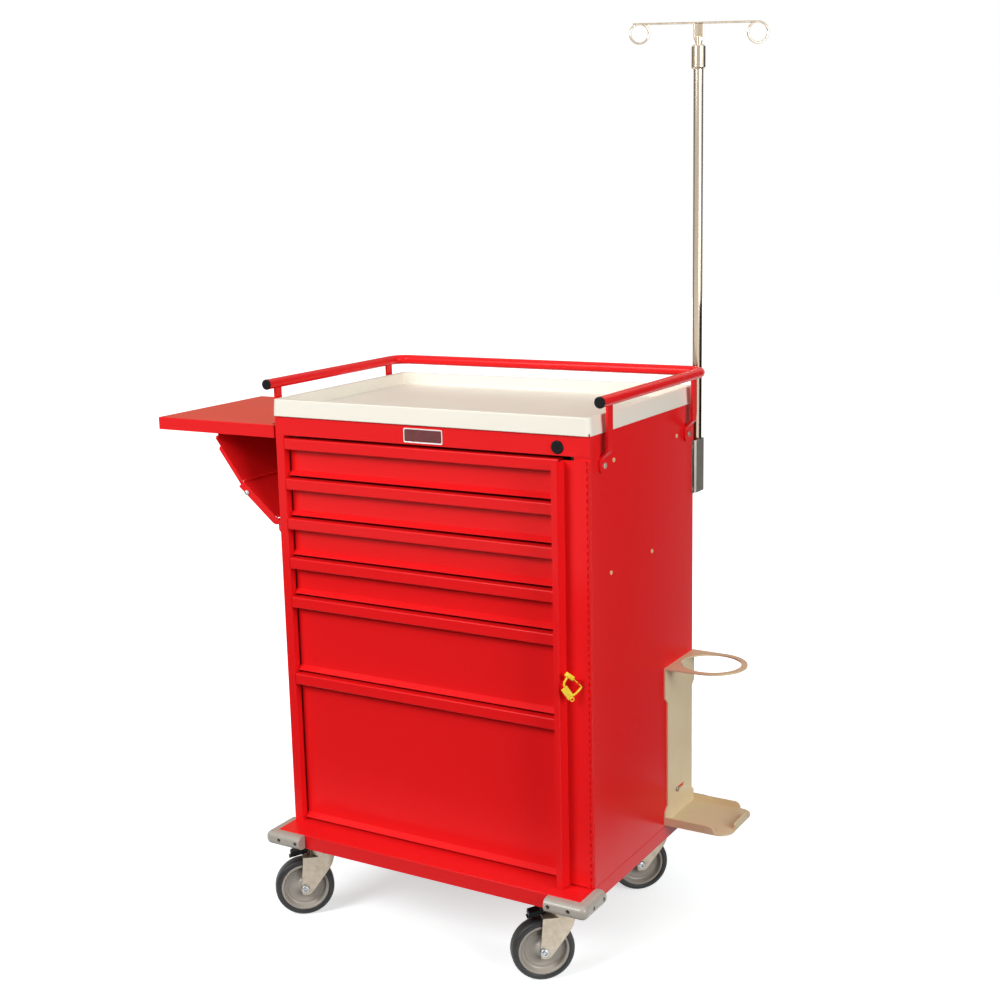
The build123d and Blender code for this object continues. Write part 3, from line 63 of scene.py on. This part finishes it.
def addNoise(nt, scale, detail=3.0, stretch=(1, 1, 1), rough=0.55):
    coord = nt.nodes.new("ShaderNodeTexCoord")
    mapping = nt.nodes.new("ShaderNodeMapping")
    mapping.inputs["Scale"].default_value = stretch
    noise = nt.nodes.new("ShaderNodeTexNoise")
    noise.inputs["Scale"].default_value = scale
    noise.inputs["Detail"].default_value = detail
    noise.inputs["Roughness"].default_value = rough
    nt.links.new(coord.outputs["Object"], mapping.inputs["Vector"])
    nt.links.new(mapping.outputs["Vector"], noise.inputs["Vector"])
    return noise.outputs["Fac"]


def addRange(nt, source, low, high, fromLow=0.3, fromHigh=0.7):
    spread = nt.nodes.new("ShaderNodeMapRange")
    spread.inputs["From Min"].default_value = fromLow
    spread.inputs["From Max"].default_value = fromHigh
    spread.inputs["To Min"].default_value = low
    spread.inputs["To Max"].default_value = high
    nt.links.new(source, spread.inputs["Value"])
    return spread.outputs["Result"]


def newFinish(name, look):
    mat = bpy.data.materials.new(name)
    mat.use_nodes = True
    nt = mat.node_tree
    shader = nt.nodes["Principled BSDF"]
    shader.inputs["Metallic"].default_value = look.get("metallic", 0.0)
    shader.inputs["Specular IOR Level"].default_value = look.get("specular", 0.5)

    # two close tones in soft patches
    ramp = nt.nodes.new("ShaderNodeValToRGB")
    ramp.color_ramp.elements[0].position = 0.34
    ramp.color_ramp.elements[0].color = (*look["dark"], 1)
    ramp.color_ramp.elements[1].position = 0.66
    ramp.color_ramp.elements[1].color = (*look["light"], 1)
    patches = addNoise(nt, look.get("patchScale", 9.0), 4.0, look.get("patchStretch", (1, 1, 1)))
    nt.links.new(patches, ramp.inputs["Fac"])
    nt.links.new(ramp.outputs["Color"], shader.inputs["Base Color"])

    # gloss that changes a little across the surface
    gloss = addNoise(nt, look.get("glossScale", 30.0), 3.0, look.get("glossStretch", (1, 1, 1)))
    smooth, rough = look["roughness"]
    nt.links.new(addRange(nt, gloss, smooth, rough), shader.inputs["Roughness"])

    # fine surface grain over edges that the sheet's own radius softens
    bump = nt.nodes.new("ShaderNodeBump")
    bump.inputs["Strength"].default_value = look.get("grainStrength", 0.3)
    bump.inputs["Distance"].default_value = look.get("grainDepth", 0.00015)
    grain = addNoise(nt, look.get("grainScale", 500.0), 2.0, look.get("grainStretch", (1, 1, 1)))
    nt.links.new(grain, bump.inputs["Height"])
    edgeRadius = look.get("edgeRadius", 0.0008)
    if edgeRadius > 0:
        edge = nt.nodes.new("ShaderNodeBevel")
        edge.samples = 4
        edge.inputs["Radius"].default_value = edgeRadius
        nt.links.new(edge.outputs["Normal"], bump.inputs["Normal"])
    nt.links.new(bump.outputs["Normal"], shader.inputs["Normal"])
    return mat


finishes = {
    "red_paint": newFinish("redPowderCoat", {
        "dark": (0.81, 0.011, 0.013), "light": (0.81, 0.011, 0.013),
        "roughness": (0.27, 0.27), "specular": 0.14,
        "grainScale": 420.0, "grainStrength": 0.10, "grainDepth": 0.0001, "edgeRadius": 0.0,
    }),
    "cream_plastic": newFinish("creamStyrene", {
        "dark": (0.84, 0.80, 0.69), "light": (0.88, 0.845, 0.74), "patchScale": 4.0, "specular": 0.35,
        "roughness": (0.30, 0.38), "glossScale": 12.0,
        "grainScale": 650.0, "grainStrength": 0.25, "grainDepth": 0.0001, "edgeRadius": 0.0018,
    }),
    "beige_paint": newFinish("beigePowderCoat", {
        "dark": (0.74, 0.60, 0.37), "light": (0.80, 0.66, 0.43), "patchScale": 8.0, "specular": 0.3,
        "roughness": (0.34, 0.42), "grainScale": 480.0, "grainStrength": 0.2, "grainDepth": 0.0001,
    }),
    # painted reflection: the polished stainless gets a warm brown tone, darker and browner than bare steel, in long
    # vertical streaks, standing in for the surroundings that the tube mirrors
    "stainless": newFinish("polishedStainless", {
        "dark": (0.42, 0.345, 0.26), "light": (0.56, 0.475, 0.375), "patchScale": 60.0, "patchStretch": (1, 1, 0.01),
        "metallic": 1.0, "roughness": (0.10, 0.18), "glossScale": 90.0, "glossStretch": (1, 1, 0.02),
        "grainScale": 700.0, "grainStretch": (1, 1, 0.01), "grainStrength": 0.15, "grainDepth": 0.0001,
        "edgeRadius": 0.0005,
    }),
    "brushed_stainless": newFinish("brushedStainless", {
        "dark": (0.30, 0.265, 0.23), "light": (0.37, 0.335, 0.30), "patchScale": 20.0,
        "metallic": 1.0, "roughness": (0.34, 0.46), "grainScale": 900.0, "grainStretch": (1, 1, 0.04),
        "grainStrength": 0.3, "grainDepth": 0.0001,
    }),
    "zinc": newFinish("warmZinc", {
        "dark": (0.43, 0.36, 0.275), "light": (0.52, 0.455, 0.37), "patchScale": 70.0,
        "metallic": 0.85, "roughness": (0.32, 0.48), "glossScale": 160.0,
        "grainScale": 800.0, "grainStrength": 0.35, "grainDepth": 0.00012, "edgeRadius": 0.0011,
    }),
    "brass": newFinish("yellowPassivate", {
        "dark": (0.74, 0.60, 0.28), "light": (0.86, 0.74, 0.42), "patchScale": 200.0,
        "metallic": 0.35, "roughness": (0.25, 0.38), "edgeRadius": 0.0003,
    }),
    "bumper_grey": newFinish("greyBumper", {
        "dark": (0.39, 0.355, 0.305), "light": (0.45, 0.415, 0.36), "patchScale": 20.0,
        "roughness": (0.24, 0.34), "grainScale": 700.0, "grainStrength": 0.2, "grainDepth": 0.0001,
        "edgeRadius": 0.0015,
    }),
    "wheel_grey": newFinish("wheelNylon", {
        "dark": (0.36, 0.325, 0.28), "light": (0.42, 0.385, 0.335), "patchScale": 14.0,
        "roughness": (0.26, 0.34), "grainScale": 900.0, "grainStrength": 0.15, "grainDepth": 0.0001,
    }),
    "tyre_black": newFinish("tyreRubber", {
        "dark": (0.012, 0.012, 0.014), "light": (0.022, 0.021, 0.020), "patchScale": 40.0,
        "roughness": (0.42, 0.58), "grainScale": 700.0, "grainStrength": 0.5, "grainDepth": 0.0002,
    }),
    "black_plastic": newFinish("blackPlastic", {
        "dark": (0.002, 0.002, 0.003), "light": (0.004, 0.004, 0.005), "patchScale": 80.0, "specular": 0.12,
        "roughness": (0.30, 0.40), "grainScale": 800.0, "grainStrength": 0.2, "grainDepth": 0.0001,
    }),
    "seal_yellow": newFinish("yellowSeal", {
        "dark": (0.88, 0.59, 0.012), "light": (0.94, 0.70, 0.030), "patchScale": 120.0,
        "roughness": (0.30, 0.42), "grainScale": 1200.0, "grainStrength": 0.25, "grainDepth": 0.0001,
        "edgeRadius": 0.0003,
    }),
    "galvanised": newFinish("galvanisedSteel", {
        "dark": (0.42, 0.43, 0.44), "light": (0.58, 0.59, 0.60), "patchScale": 60.0,
        "metallic": 0.9, "roughness": (0.34, 0.5), "grainScale": 300.0, "grainStrength": 0.2,
    }),
    "nameplate_metal": newFinish("satinAluminium", {
        "dark": (0.62, 0.60, 0.57), "light": (0.74, 0.72, 0.69), "patchScale": 90.0, "patchStretch": (0.05, 1, 1),
        "metallic": 1.0, "roughness": (0.22, 0.32), "edgeRadius": 0.0003,
    }),
}

for part in frame["record"]["subparts"]:
    mesh = nodes[part["node"]].data
    mesh.materials.clear()
    mesh.materials.append(finishes[part["material_slot"]])
print("finishes on the CAD nodes:", len(finishes))


def addPiece(name, bm, mat, body, smoothAngle=35):
    mesh = bpy.data.meshes.new(name)
    bm.to_mesh(mesh)
    bm.free()
    mesh.materials.append(mat)
    mesh.shade_smooth()
    mesh.set_sharp_from_angle(angle=math.radians(smoothAngle))
    piece = bpy.data.objects.new(name, mesh)
    bpy.context.scene.collection.objects.link(piece)
    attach(piece, body)
    return piece


# wheels and tyres, spun from one side of their section

wheel = {
    "steps": 96, "turn": 40,            # steps round the axle, and the casters' turn in degrees
    # radius and distance from the middle plane, in millimetres, on one side
    "coreSide": (
        (5.1, 16.4), (9.4, 16.4), (10.6, 15.9), (11.6, 14.2), (13.4, 10.6), (15.6, 7.6), (18.5, 5.4), (24.5, 4.2),
        (30.5, 3.8), (32.0, 4.6), (33.6, 4.6), (35.2, 3.9), (37.6, 4.6), (39.6, 6.8), (40.6, 10.2), (41.4, 13.0),
        (42.6, 14.1), (45.2, 14.1), (46.4, 13.2),
    ),
    "tyreSide": (
        (46.5, 13.1), (47.3, 14.2), (48.8, 14.9), (51.0, 15.0), (53.4, 14.6), (55.2, 13.4), (56.5, 11.3), (57.3, 8.4),
        (57.5, 5.0),
    ),
}
casterTurn = math.radians(wheel["turn"])
casterAxis = Vector((-math.sin(casterTurn), math.cos(casterTurn), 0))
corners = ("front_left", "front_right", "rear_left", "rear_right")


def spunShape(points, axis, steps, closed, place):
    # spins a row of points in the XZ plane about an axis, then puts the shape in its place
    bm = bmesh.new()
    verts = [bm.verts.new((x / 1000, 0, z / 1000)) for x, z in points]
    edges = [bm.edges.new(pair) for pair in zip(verts, verts[1:])]
    if closed:
        edges.append(bm.edges.new((verts[-1], verts[0])))
    bmesh.ops.spin(bm, geom=verts + edges, cent=(0, 0, 0), axis=axis, dvec=(0, 0, 0),
                   angle=math.tau, steps=steps, use_merge=True)
    bmesh.ops.remove_doubles(bm, verts=bm.verts, dist=1e-6)
    bmesh.ops.recalc_face_normals(bm, faces=bm.faces)
    bmesh.ops.transform(bm, matrix=place, verts=bm.verts)
    return bm


def turnedRing(side, centre):
    # a mirrored side, spun about +X and turned on to the axle
    section = [(a, r) for r, a in side] + [(-a, r) for r, a in reversed(side)]
    turn = casterAxis.to_track_quat("X", "Z").to_matrix().to_4x4()
    return spunShape(section, (1, 0, 0), wheel["steps"], True, Matrix.Translation(centre) @ turn)


for corner in corners:
    low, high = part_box(corner + "_tyre")
    centre = (low + high) / 2
    core = addPiece(corner + "WheelCore", turnedRing(wheel["coreSide"], centre),
                    finishes["wheel_grey"], corner + "_wheel")
    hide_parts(corner + "_wheel")
    tyre = addPiece(corner + "TyreTread", turnedRing(wheel["tyreSide"], centre),
                    finishes["tyre_black"], corner + "_wheel", 50)
    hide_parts(corner + "_tyre")
print("wheels and tyres turned")


# the breakaway seal, which hangs in the eye of the lock bar

seal = {
    "turn": 55.0,                       # from the cabinet's face, in degrees
    "eye": (17.2, 24.1, 31.7),          # from the low corner of the seal's box to the eye
    "strip": ((10.1, -7.9), (4.6, -13.4), (-0.6, -17.6), (-6.2, -20.2), (-10.4, -20.6), (-14.0, -17.2),
              (-18.4, -10.6), (-22.4, -3.4), (-23.6, 1.2), (-22.8, 5.6), (-19.8, 9.6), (-17.0, 13.4)),
    "stripWide": 3.3, "stripDeep": 2.6, "stripRound": 0.6,
    "rod": ((-6.7, 9.7), (9.6, -7.4)), "rodRadius": 1.15, "rodSteps": 20,
    # middle, turn, length, width and thickness
    "lock": (-12.6, 14.2, -38, 18.5, 8.2, 6.4), "lockRound": 1.9,
    "tag": (-17.0, -14.5, -56, 24.5, 12.6, 1.3), "tagRound": 0.4,
    "ribs": 5, "ribWide": 1.3, "ribInset": 1.5, "ribProud": 0.7, "ribRound": 0.3,
    "ring": (-8.2, -27.5, 3.2, 1.0), "ringSteps": (12, 28),     # middle, radius and half thickness
}
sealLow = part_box("seal")[0]
sealOrigin = sealLow + Vector(seal["eye"]) / 1000
sealPlane = (Matrix.Translation(sealOrigin) @ Matrix.Rotation(math.radians(seal["turn"]), 4, "Z")
             @ Matrix.Rotation(math.pi / 2, 4, "X"))


def sealBlock(bm, x, y, angle, long, wide, deep, round):
    made = bmesh.ops.create_cube(bm, size=1.0)["verts"]
    bmesh.ops.scale(bm, vec=(long / 1000, wide / 1000, deep / 1000), verts=made)
    edges = list({e for v in made for e in v.link_edges})
    made = bmesh.ops.bevel(bm, geom=edges, offset=round / 1000, segments=3, profile=0.5, affect="EDGES",
                           material=-1)["verts"]
    place = Matrix.Translation((x / 1000, y / 1000, 0)) @ Matrix.Rotation(math.radians(angle), 4, "Z")
    bmesh.ops.transform(bm, matrix=place, verts=made)


def makeSealStrip():
    bm = bmesh.new()
    verts = [bm.verts.new((x / 1000, y / 1000, -seal["stripDeep"] / 2000)) for x, y in seal["strip"]]
    edges = [bm.edges.new(pair) for pair in zip(verts, verts[1:])]
    raised = bmesh.ops.extrude_edge_only(bm, edges=edges)["geom"]
    lifted = [g for g in raised if isinstance(g, bmesh.types.BMVert)]
    bmesh.ops.translate(bm, vec=(0, 0, seal["stripDeep"] / 1000), verts=lifted)
    bmesh.ops.recalc_face_normals(bm, faces=bm.faces)
    bmesh.ops.transform(bm, matrix=sealPlane, verts=bm.verts)
    return bm


def makeSealRing():
    bm = bmesh.new()
    x, y, radius, thick = seal["ring"]
    around, along = seal["ringSteps"]
    circle = bmesh.ops.create_circle(bm, segments=around, radius=thick / 1000)["verts"]
    bmesh.ops.rotate(bm, cent=(0, 0, 0), matrix=Matrix.Rotation(math.pi / 2, 3, "X"), verts=circle)
    bmesh.ops.translate(bm, vec=(radius / 1000, 0, 0), verts=circle)
    bmesh.ops.spin(bm, geom=circle + bm.edges[:], cent=(0, 0, 0), axis=(0, 0, 1), dvec=(0, 0, 0),
                   angle=math.tau, steps=along, use_merge=True)
    bmesh.ops.remove_doubles(bm, verts=bm.verts, dist=1e-7)
    bmesh.ops.recalc_face_normals(bm, faces=bm.faces)
    bmesh.ops.translate(bm, vec=(x / 1000, y / 1000, 0), verts=bm.verts)
    bmesh.ops.transform(bm, matrix=sealPlane, verts=bm.verts)
    return bm


def makeSealBlocks():
    bm = bmesh.new()
    x, y, angle, long, wide, deep = seal["lock"]
    sealBlock(bm, x, y, angle, long, wide, deep, seal["lockRound"])
    x, y, angle, long, wide, deep = seal["tag"]
    sealBlock(bm, x, y, angle, long, wide, deep, seal["tagRound"])
    aim = math.radians(angle)
    for i in range(seal["ribs"]):
        along = (i - (seal["ribs"] - 1) / 2) * long / (seal["ribs"] + 1)
        sealBlock(bm, x + along * math.cos(aim), y + along * math.sin(aim), angle, seal["ribWide"],
                  wide - 2 * seal["ribInset"], deep + seal["ribProud"], seal["ribRound"])
    start, end = Vector((*seal["rod"][0], 0)) / 1000, Vector((*seal["rod"][1], 0)) / 1000
    radius = seal["rodRadius"] / 1000
    rod = bmesh.ops.create_cone(bm, cap_ends=True, segments=seal["rodSteps"], radius1=radius, radius2=radius,
                                depth=(end - start).length)["verts"]
    turn = (end - start).to_track_quat("Z", "X").to_matrix().to_4x4()
    bmesh.ops.transform(bm, matrix=Matrix.Translation((start + end) / 2) @ turn, verts=rod)
    bmesh.ops.transform(bm, matrix=sealPlane, verts=bm.verts)
    return bm


yellow = finishes["seal_yellow"]
sealBody = addPiece("sealBody", makeSealBlocks(), yellow, "lock_bar")
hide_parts("seal")
sealLoop = addPiece("sealLoop", makeSealStrip(), yellow, "lock_bar")
thicken = sealLoop.modifiers.new("wall", "SOLIDIFY")
thicken.thickness = seal["stripWide"] / 1000
thicken.offset = 0
soften = sealLoop.modifiers.new("corners", "BEVEL")
soften.width = seal["stripRound"] / 1000
soften.segments = 2
addPiece("sealRing", makeSealRing(), yellow, "lock_bar")
print("seal moulded")


# bolt heads that cover the plain ones, with a round socket
heads = {
    # radius and height above the sheet, in millimetres
    "axle": ((0, 0), (8.6, 0), (8.6, 1.8), (8.2, 3.2), (7.1, 4.7), (5.6, 5.6), (4.0, 6.0), (3.6, 5.8),
             (3.6, 3.7), (0, 3.7)),
    "knee": ((0, 0), (5.2, 0), (5.2, 1.4), (4.7, 2.6), (3.4, 3.5), (2.2, 3.8), (1.9, 3.6), (1.9, 2.4),
             (0, 2.4)),
    "steps": 32,
    "forkHalf": 20.0,                   # from the middle of the wheel to the outside of the fork
    "kneeAt": (-409.1, 9.5, 827.3),
}


def turnedHead(side, at, aim):
    # a head spun about +Z and turned on to the bolt
    turn = aim.to_track_quat("Z", "X").to_matrix().to_4x4()
    return spunShape(side, (0, 0, 1), heads["steps"], False, Matrix.Translation(at) @ turn)


for corner in corners:
    low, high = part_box(corner + "_tyre")
    for side, way in (("Near", -1), ("Far", 1)):
        aim = casterAxis * way
        at = (low + high) / 2 + aim * heads["forkHalf"] / 1000
        addPiece(corner + "Axle" + side, turnedHead(heads["axle"], at, aim), finishes["galvanised"],
                 corner + "_swivel")
addPiece("kneeBoltHead", turnedHead(heads["knee"], spot(*heads["kneeAt"]), Vector((0, -1, 0))),
         finishes["galvanised"], "brace_lower")
print("bolt heads turned")


# the dark field inside the nameplate's frame

plate = {"rim": 2.2, "corner": 2.4, "thick": 0.25, "dark": (0.10, 0.006, 0.008), "light": (0.14, 0.008, 0.010)}
plateLow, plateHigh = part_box("nameplate")
plateInk = newFinish("darkRedEnamel", {"dark": plate["dark"], "light": plate["light"], "patchScale": 60.0,
                                       "roughness": (0.18, 0.26), "edgeRadius": 0.0002, "grainStrength": 0.1})
bm = bmesh.new()
made = bmesh.ops.create_cube(bm, size=1.0)["verts"]
wide = plateHigh.x - plateLow.x - 2 * plate["rim"] / 1000
tall = plateHigh.z - plateLow.z - 2 * plate["rim"] / 1000
bmesh.ops.scale(bm, vec=(wide, plate["thick"] / 1000, tall), verts=made)
uprights = [e for e in bm.edges if abs(e.verts[0].co.y - e.verts[1].co.y) > 1e-5]
bmesh.ops.bevel(bm, geom=uprights, offset=plate["corner"] / 1000, segments=5, profile=0.5, affect="EDGES", material=-1)
middle = (plateLow + plateHigh) / 2
bmesh.ops.translate(bm, vec=(middle.x, plateLow.y, middle.z), verts=bm.verts)
addPiece("nameplateField", bm, plateInk, "cart")
print("nameplate filled")


# camera, floor and lights

camera = {"at": (1432.4, -2207.0, 1386.1), "azimuth": 31.77, "pitch": 11.62, "roll": -1.611,
          "lens": 54.69, "shift": (0.0443, 0.0011)}
az, pitch, roll = (math.radians(camera[k]) for k in ("azimuth", "pitch", "roll"))
forward = Vector((-math.sin(az) * math.cos(pitch), math.cos(az) * math.cos(pitch), -math.sin(pitch)))
level = Vector((math.cos(az), math.sin(az), 0))
above = level.cross(forward)
right = math.cos(roll) * level + math.sin(roll) * above
up = -math.sin(roll) * level + math.cos(roll) * above
cameraData = bpy.data.cameras.new("frontCamera")
cameraData.lens = camera["lens"]
cameraData.sensor_width = 36
cameraData.shift_x, cameraData.shift_y = camera["shift"]
cameraData.clip_end = 100
cameraObject = bpy.data.objects.new("frontCamera", cameraData)
turn = Matrix((right, up, -forward)).transposed().to_4x4()
cameraObject.matrix_world = Matrix.Translation(spot(*camera["at"])) @ turn
bpy.context.scene.collection.objects.link(cameraObject)
bpy.context.scene.camera = cameraObject


def rayMix(nt, litSocket, shownSocket, outputSocket):
    # camera, mirror and glass rays see the second shader; all others see the first
    path = nt.nodes.new("ShaderNodeLightPath")
    first = nt.nodes.new("ShaderNodeMath")
    first.operation = "MAXIMUM"
    second = nt.nodes.new("ShaderNodeMath")
    second.operation = "MAXIMUM"
    nt.links.new(path.outputs["Is Camera Ray"], first.inputs[0])
    nt.links.new(path.outputs["Is Glossy Ray"], first.inputs[1])
    nt.links.new(first.outputs[0], second.inputs[0])
    nt.links.new(path.outputs["Is Transmission Ray"], second.inputs[1])
    mix = nt.nodes.new("ShaderNodeMixShader")
    nt.links.new(second.outputs[0], mix.inputs[0])
    nt.links.new(litSocket, mix.inputs[1])
    nt.links.new(shownSocket, mix.inputs[2])
    nt.links.new(mix.outputs[0], outputSocket)


studio = {
    "worldLevel": 0.27, "shownLevel": 1.0, "bounce": (0.10, 0.10, 0.10),
    # floorTone is painted a slight cyan to cancel the red light that the cart bounces on to the floor
    "floorTone": (0.74, 0.80, 0.80), "floorSize": 30.0, "floorDrop": 0.0005,
    "floorGlow": (0.56, 1.05), "glowStart": 0.30, "glowEnd": 1.1,   # the glow grows away from the cart
}
world = bpy.data.worlds.new("studio")
bpy.context.scene.world = world
world.use_nodes = True
nt = world.node_tree
ambient = nt.nodes["Background"]
ambient.inputs["Color"].default_value = (1, 1, 1, 1)
ambient.inputs["Strength"].default_value = studio["worldLevel"]
shown = nt.nodes.new("ShaderNodeBackground")
shown.inputs["Color"].default_value = (1, 1, 1, 1)
shown.inputs["Strength"].default_value = studio["shownLevel"]
rayMix(nt, ambient.outputs[0], shown.outputs[0], nt.nodes["World Output"].inputs["Surface"])

floorMat = bpy.data.materials.new("paleFloor")
floorMat.use_nodes = True
nt = floorMat.node_tree
paint = nt.nodes["Principled BSDF"]
paint.inputs["Base Color"].default_value = (*studio["floorTone"], 1)
paint.inputs["Roughness"].default_value = 0.9
paint.inputs["Specular IOR Level"].default_value = 0.1
glow = nt.nodes.new("ShaderNodeEmission")
place = nt.nodes.new("ShaderNodeNewGeometry")
away = nt.nodes.new("ShaderNodeVectorMath")
away.operation = "LENGTH"
nt.links.new(place.outputs["Position"], away.inputs[0])
fade = addRange(nt, away.outputs["Value"], *studio["floorGlow"], studio["glowStart"], studio["glowEnd"])
nt.links.new(fade, glow.inputs["Strength"])
brighter = nt.nodes.new("ShaderNodeAddShader")
nt.links.new(paint.outputs[0], brighter.inputs[0])
nt.links.new(glow.outputs[0], brighter.inputs[1])
bounce = nt.nodes.new("ShaderNodeBsdfDiffuse")
bounce.inputs["Color"].default_value = (*studio["bounce"], 1)
rayMix(nt, bounce.outputs[0], brighter.outputs[0], nt.nodes["Material Output"].inputs["Surface"])
bm = bmesh.new()
bmesh.ops.create_grid(bm, x_segments=1, y_segments=1, size=studio["floorSize"] / 2)
floorMesh = bpy.data.meshes.new("floor")
bm.to_mesh(floorMesh)
bm.free()
floorMesh.materials.append(floorMat)
floor = bpy.data.objects.new("floor", floorMesh)
floor.location.z = -studio["floorDrop"]
bpy.context.scene.collection.objects.link(floor)

# cards that only mirror rays meet, dark or brown, for the streaks on metal and paint: painted reflections of sheets
# that glow in mirrors only
flags = {
    "right": {"at": (560, 740, 575), "turn": 90, "wide": 0.75, "tall": 1.15, "tone": (0.02, 0.015, 0.01)},
    "pole": {"at": (1180, 1520, 1500), "turn": -33, "wide": 1.0, "tall": 1.5, "tone": (0.02, 0.015, 0.01)},
    "left": {"at": (-1300, 260, 1300), "turn": 83, "wide": 0.8, "tall": 1.5, "tone": (0.02, 0.015, 0.01)},
    "front": {"at": (-300, -450, 300), "turn": 0, "wide": 2.4, "tall": 0.6, "tone": (0.02, 0.015, 0.01)},
    "rear": {"at": (-1160, 2200, 1300), "turn": 32, "wide": 2.4, "tall": 2.2, "tone": (0.60, 0.40, 0.26)},
}
for name, flag in flags.items():
    flagMat = bpy.data.materials.new(name + "Cloth")
    flagMat.use_nodes = True
    nt = flagMat.node_tree
    cloth = nt.nodes.new("ShaderNodeEmission")
    cloth.inputs["Color"].default_value = (*flag["tone"], 1)
    nt.links.new(cloth.outputs[0], nt.nodes["Material Output"].inputs["Surface"])
    bm = bmesh.new()
    made = bmesh.ops.create_grid(bm, x_segments=1, y_segments=1, size=0.5)["verts"]
    bmesh.ops.scale(bm, vec=(flag["wide"], flag["tall"], 1), verts=made)
    bmesh.ops.rotate(bm, cent=(0, 0, 0), matrix=Matrix.Rotation(math.pi / 2, 3, "X"), verts=made)
    bmesh.ops.rotate(bm, cent=(0, 0, 0), matrix=Matrix.Rotation(math.radians(flag["turn"]), 3, "Z"), verts=made)
    bmesh.ops.translate(bm, vec=spot(*flag["at"]), verts=made)
    mesh = bpy.data.meshes.new(name + "Flag")
    bm.to_mesh(mesh)
    bm.free()
    mesh.materials.append(flagMat)
    card = bpy.data.objects.new(name + "Flag", mesh)
    card.visible_camera = card.visible_diffuse = card.visible_transmission = card.visible_shadow = False
    bpy.context.scene.collection.objects.link(card)

lamps = {
    "key": {"at": (-1300, -3000, 2700), "aim": (0, 200, 700), "size": 1.6, "power": 118},
    "side": {"at": (3300, -900, 1800), "aim": (0, 200, 700), "size": 1.8, "power": 76},
    "top": {"at": (0, 200, 3800), "aim": (0, 200, 900), "size": 2.2, "power": 10},
}
for name, lamp in lamps.items():
    light = bpy.data.lights.new(name, "AREA")
    light.size = lamp["size"]
    light.energy = lamp["power"]
    lightObject = bpy.data.objects.new(name, light)
    lightObject.location = spot(*lamp["at"])
    lightObject.rotation_euler = (spot(*lamp["aim"]) - spot(*lamp["at"])).to_track_quat("-Z", "Y").to_euler()
    bpy.context.scene.collection.objects.link(lightObject)

bpy.context.scene.view_settings.view_transform = "Standard"
print("camera, floor and lights set")
